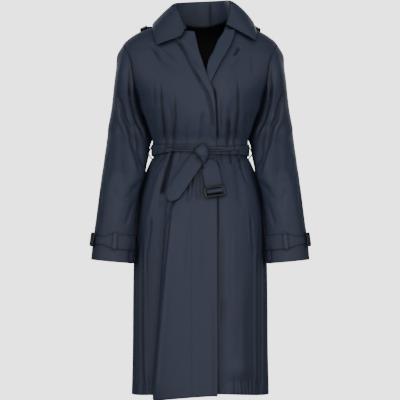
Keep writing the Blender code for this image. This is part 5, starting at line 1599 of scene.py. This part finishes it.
LOOP_RADIUS = 0.0019  # its threads are whipped together
LOOP_WAVE = 0.0004  # how far it wavers
# How the loop's slack stands out beside the belt, from its top down
LOOP_SHOWN = (
    (0.1440, -0.3780),
    (0.1480, -0.3868),
    (0.1530, -0.3965),
    (0.1562, -0.4030),
    (0.1535, -0.4085),
    (0.1490, -0.4150),
    (0.1440, -0.4215),
)


def belt_loop(side):
    sign = 1 if side == "left" else -1
    points = resampled(LOOP_SHOWN, count(60))
    path = [(sign * x, LOOP_WAVE * math.sin(i * 1.3), z) for i, (x, z) in enumerate(points)]
    radii = LOOP_RADIUS * (1 + 0.14 * np.sin(np.arange(len(path)) * 1.9))
    made = tube(f"belt_loop_{side}_thread", path, radii, 10, loop_material())
    stands_for(f"belt_loop_{side}")


# --- cuffs -------------------------------------------------------------------------------------------------


def cuff_strap(side):
    """The strap round the cuff, narrowed where it runs through its loop and buckle."""
    near = CUFF_BUCKLE_TURN + np.linspace(-8, 8, count(25))
    turn = np.unique(np.concatenate([np.linspace(0, 360, count(150), endpoint=False), near]))
    middle, half = (column(STRAP, STRAP_COLUMNS, name, turn) for name in ("middle", "half"))
    rows = []
    for share in np.linspace(1, -1, count(13)):
        lift = strap_lift(turn) + STRAP_CROWN * (1 - share * share)
        rows.append(sleeve_skin(np.radians(turn), middle + share * half / SECTION_STEP, lift))
    grid = np.array(rows)
    points = on_side(side, grid)
    cloth(f"cuff_strap_{side}", points, STRAP_WALL, closed=True, flip=side == "right")
    wrapped = np.concatenate([points, points[:, :1]], 1)
    strip_stitches(wrapped if side == "left" else wrapped[:, ::-1], STRAP_STITCH)
    sew(f"cuff_strap_{side}_stitching")


LOOP_SLACK = 0.0016  # how far the loop stands off the strap under it


def cuff_loop(side):
    under = STRAP_GAP + STRAP_WALL
    over = under + LAYER_GAP + STRAP_WALL + LOOP_SLACK
    turn = np.radians(STRAP_LOOP_TURN + np.linspace(-1, 1, count(9)) * CUFF_LOOP_HALF_TURN)
    stations = resampled(list(zip(CUFF_LOOP_PATH, (under, under, over, over, over, under, under))), count(40))
    middle = STRAP_MIDDLE + np.zeros_like(turn)
    grid = np.array([sleeve_skin(turn, middle + down / SECTION_STEP, lift) for down, lift in stations])
    points = on_side(side, grid)
    cloth(f"cuff_loop_{side}", points, STRAP_WALL, flip=side == "right")


def cuff_buckle(side):
    _, height, bar, _ = CUFF_BUCKLE_SIZE
    turn, row = math.radians(CUFF_BUCKLE_TURN), CUFF_BUCKLE_ROW
    centre = sleeve_skin(turn, row, CUFF_BUCKLE_LIFT)
    across = unit(sleeve_skin(turn + 0.05, row) - sleeve_skin(turn - 0.05, row))
    up = unit(sleeve_skin(turn, row - 0.2) - sleeve_skin(turn, row + 0.2))
    up = unit(up - across * (across @ up))
    if side == "right":
        centre, across, up = mirrored(centre), -mirrored(across), mirrored(up)
    reach = height / 2 - bar / 2
    bars = [((0.0, -reach), (0.0, reach), CUFF_BAR_HALF)]
    size = np.add(CUFF_BUCKLE_SIZE, CUFF_BUCKLE_ROUND)
    frame_mesh(f"cuff_buckle_{side}_frame", f"cuff_buckle_{side}", centre, across, up, size, bars)


# --- materials ---------------------------------------------------------------------------------------------

SHELL_DARK = (0.0300, 0.0376, 0.0655)
SHELL_LIGHT = (0.0425, 0.0528, 0.0893)
SHADE_REACH = 0.018  # painted shade: how far nearby cloth darkens the colour of the cloth beside it, in its gaps and creases
SHADE_DEPTH = 2.2
LINING_DARK = (0.0035, 0.0035, 0.0045)
LINING_LIGHT = (0.0060, 0.0060, 0.0078)
THREAD = (0.052, 0.066, 0.115)
LOOP_THREAD = (0.012, 0.015, 0.026)
BUCKLE = (0.0060, 0.0070, 0.0110)
NICKEL = (0.20, 0.20, 0.21)


def node_material(name, colour, roughness, metallic=0.0):
    made = bpy.data.materials.new(name)
    made.use_nodes = True
    shader = made.node_tree.nodes["Principled BSDF"]
    shader.inputs["Base Color"].default_value = (*colour, 1.0)
    shader.inputs["Roughness"].default_value = roughness
    shader.inputs["Metallic"].default_value = metallic
    return made, shader


def add_node(made, kind, inputs, **settings):
    """One more node of a material. An input given as a socket is linked, and a plain value is set."""
    node = made.node_tree.nodes.new("ShaderNode" + kind)
    for name, value in settings.items():
        setattr(node, name, value)
    for name, value in inputs.items():
        if isinstance(value, bpy.types.NodeSocket):
            made.node_tree.links.new(value, node.inputs[name])
        else:
            node.inputs[name].default_value = value
    return node


def woven(name, dark, light, roughness, sheen, sheen_tint):
    """A tightly woven, softly lustrous cloth: fine ribs across it, slubs, and a faint crumple, with shade
    painted into its colour in its gaps and creases.
    """
    made, shader = node_material(name, light, roughness)
    link = made.node_tree.links.new
    shader.inputs["Sheen Weight"].default_value = sheen
    shader.inputs["Sheen Roughness"].default_value = 0.5
    shader.inputs["Sheen Tint"].default_value = (*sheen_tint, 1.0)
    shader.inputs["Specular IOR Level"].default_value = 0.30
    place = add_node(made, "TexCoord", {}).outputs
    stretch = add_node(made, "Mapping", {"Vector": place["UV"], "Scale": (260.0, 1900.0, 1.0)})
    slubs = add_node(made, "TexNoise", {"Vector": stretch.outputs["Vector"], "Scale": 1.0, "Detail": 3.0})
    ribs = add_node(made, "TexWave", {
        "Vector": place["UV"], "Scale": 420.0, "Distortion": 1.2, "Detail": 1.0,
    }, wave_type="BANDS", bands_direction="Y")
    crumple = add_node(made, "TexNoise", {
        "Vector": place["Object"], "Scale": 46.0, "Detail": 4.0, "Roughness": 0.55})
    weave = add_node(made, "Math", {0: slubs.outputs["Fac"], 1: ribs.outputs["Fac"]}, operation="ADD")
    fine = add_node(made, "Bump", {"Height": weave.outputs["Value"], "Strength": 0.22, "Distance": 0.00016})
    soft = add_node(made, "Bump", {
        "Height": crumple.outputs["Fac"], "Normal": fine.outputs["Normal"],
        "Strength": 0.42, "Distance": 0.0016,
    })
    link(soft.outputs["Normal"], shader.inputs["Normal"])
    mix = add_node(made, "Mix", {"A": (*dark, 1.0), "B": (*light, 1.0), "Factor": slubs.outputs["Fac"]},
                   data_type="RGBA")
    # painted shade: ambient occlusion, raised to SHADE_DEPTH, darkens the base colour in gaps, creases and
    # under overlapping cloth
    hidden = add_node(made, "AmbientOcclusion", {"Distance": SHADE_REACH}, samples=10)
    shade = add_node(made, "Math", {0: hidden.outputs["AO"], 1: SHADE_DEPTH}, operation="POWER")
    painted_shade_colour = add_node(made, "VectorMath", {0: mix.outputs["Result"], "Scale": shade.outputs["Value"]},
                     operation="SCALE")
    link(painted_shade_colour.outputs["Vector"], shader.inputs["Base Color"])
    return made


@functools.cache
def shell_material():
    return woven("shell_cloth", SHELL_DARK, SHELL_LIGHT, 0.56, 0.08, (0.45, 0.62, 1.0))


@functools.cache
def lining_material():
    return woven("lining_cloth", LINING_DARK, LINING_LIGHT, 0.55, 0.03, (0.5, 0.5, 0.6))


def flecked(name, colour, roughness, metallic, scale, spread_share):
    """A plain surface whose roughness varies a little."""
    made, shader = node_material(name, colour, roughness, metallic)
    place = add_node(made, "TexCoord", {}).outputs["Object"]
    noise = add_node(made, "TexNoise", {"Vector": place, "Scale": scale, "Detail": 3.0})
    low, high = roughness * (1 - spread_share), roughness * (1 + spread_share)
    span = add_node(made, "MapRange", {"Value": noise.outputs["Fac"], "To Min": low, "To Max": high})
    made.node_tree.links.new(span.outputs["Result"], shader.inputs["Roughness"])
    return made


@functools.cache
def loop_material():
    return flecked("loop_thread", LOOP_THREAD, 0.6, 0.0, 900.0, 0.2)


@functools.cache
def thread_material():
    return flecked("thread", THREAD, 0.55, 0.0, 900.0, 0.2)


@functools.cache
def buckle_material():
    return flecked("buckle_moulded", BUCKLE, 0.30, 0.0, 160.0, 0.25)


@functools.cache
def metal_material():
    return flecked("cord_end_metal", NICKEL, 0.26, 1.0, 240.0, 0.3)


# --- the whole coat ----------------------------------------------------------------------------------------


def build_coat():
    fronts()
    back()
    left_facing()
    sleeves()
    collar()
    hood()
    belt()
    knot()
    plain_tail()
    buckle_tail()
    belt_buckle()
    for side in ("left", "right"):
        belt_loop(side)
        cuff_strap(side)
        cuff_loop(side)
        cuff_buckle(side)


# --- camera, light and floor -------------------------------------------------------------------------------

CAMERA_PLACE = (-0.0009, -6.5, -0.543)
FLOOR_Z = -1.42  # under the wearer's feet
FLOOR_RADIUS = 2.8
FLOOR_GLOW = 0.45  # seen, but lights nothing
BACKGROUND_STRENGTH = 3.0  # the white paper behind, which lights nothing
# Softboxes: place, size and power
LIGHTS = (
    ("front", (0.0, -4.4, 0.7), (2.4, 2.4), 54.0),
    ("left", (-3.5, -2.5, 0.5), (2.0, 3.0), 56.0),
    ("right", (3.5, -2.5, 0.4), (2.0, 3.0), 52.0),
    ("top", (0.0, -0.6, 2.6), (2.0, 2.0), 14.0),
    ("back_left", (-2.0, 3.4, 1.0), (2.0, 2.4), 30.0),
    ("back_right", (2.0, 3.4, 1.0), (2.0, 2.4), 30.0),
    ("low", (0.0, -3.2, -1.2), (2.4, 0.8), 25.0),
)


def area_light(name, place, target, size, power):
    data = bpy.data.lights.new(name, "AREA")
    data.shape = "RECTANGLE"
    data.size, data.size_y = size
    data.energy = power
    made = bpy.data.objects.new(name, data)
    made.location = place
    made.rotation_euler = (Vector(target) - Vector(place)).to_track_quat("-Z", "Y").to_euler()
    bpy.context.scene.collection.objects.link(made)


def studio():
    scene = bpy.context.scene
    data = bpy.data.cameras.new("camera")
    data.lens, data.sensor_width = 195.0, 36.0
    camera = bpy.data.objects.new("camera", data)
    camera.location = CAMERA_PLACE
    camera.rotation_euler = (math.pi / 2, 0.0, 0.0)
    scene.collection.objects.link(camera)
    scene.camera = camera
    turn = np.linspace(0, 2 * np.pi, 96, endpoint=False)
    disc = [(FLOOR_RADIUS * math.cos(t), FLOOR_RADIUS * math.sin(t), FLOOR_Z) for t in turn]
    mesh = bpy.data.meshes.new("studio_floor")
    mesh.from_pydata(disc, [], [list(range(len(disc)))])
    made, shader = node_material("studio_white", (0.86, 0.86, 0.86), 0.9)
    shader.inputs["Emission Color"].default_value = (1.0, 1.0, 1.0, 1.0)
    shader.inputs["Emission Strength"].default_value = FLOOR_GLOW
    mesh.materials.append(made)
    floor = bpy.data.objects.new("studio_floor", mesh)
    scene.collection.objects.link(floor)
    floor.visible_diffuse = floor.visible_glossy = False
    world = bpy.data.worlds.new("studio")
    scene.world = world
    world.use_nodes = True
    world.node_tree.nodes["Background"].inputs["Color"].default_value = (1.0, 1.0, 1.0, 1.0)
    world.node_tree.nodes["Background"].inputs["Strength"].default_value = BACKGROUND_STRENGTH
    for ray in ("diffuse", "glossy", "transmission", "scatter"):
        setattr(world.cycles_visibility, ray, False)
    middle = (0.0, 0.0, -0.5)
    for name, place, size, power in LIGHTS:
        area_light(name, place, middle, size, power)


build_coat()
studio()
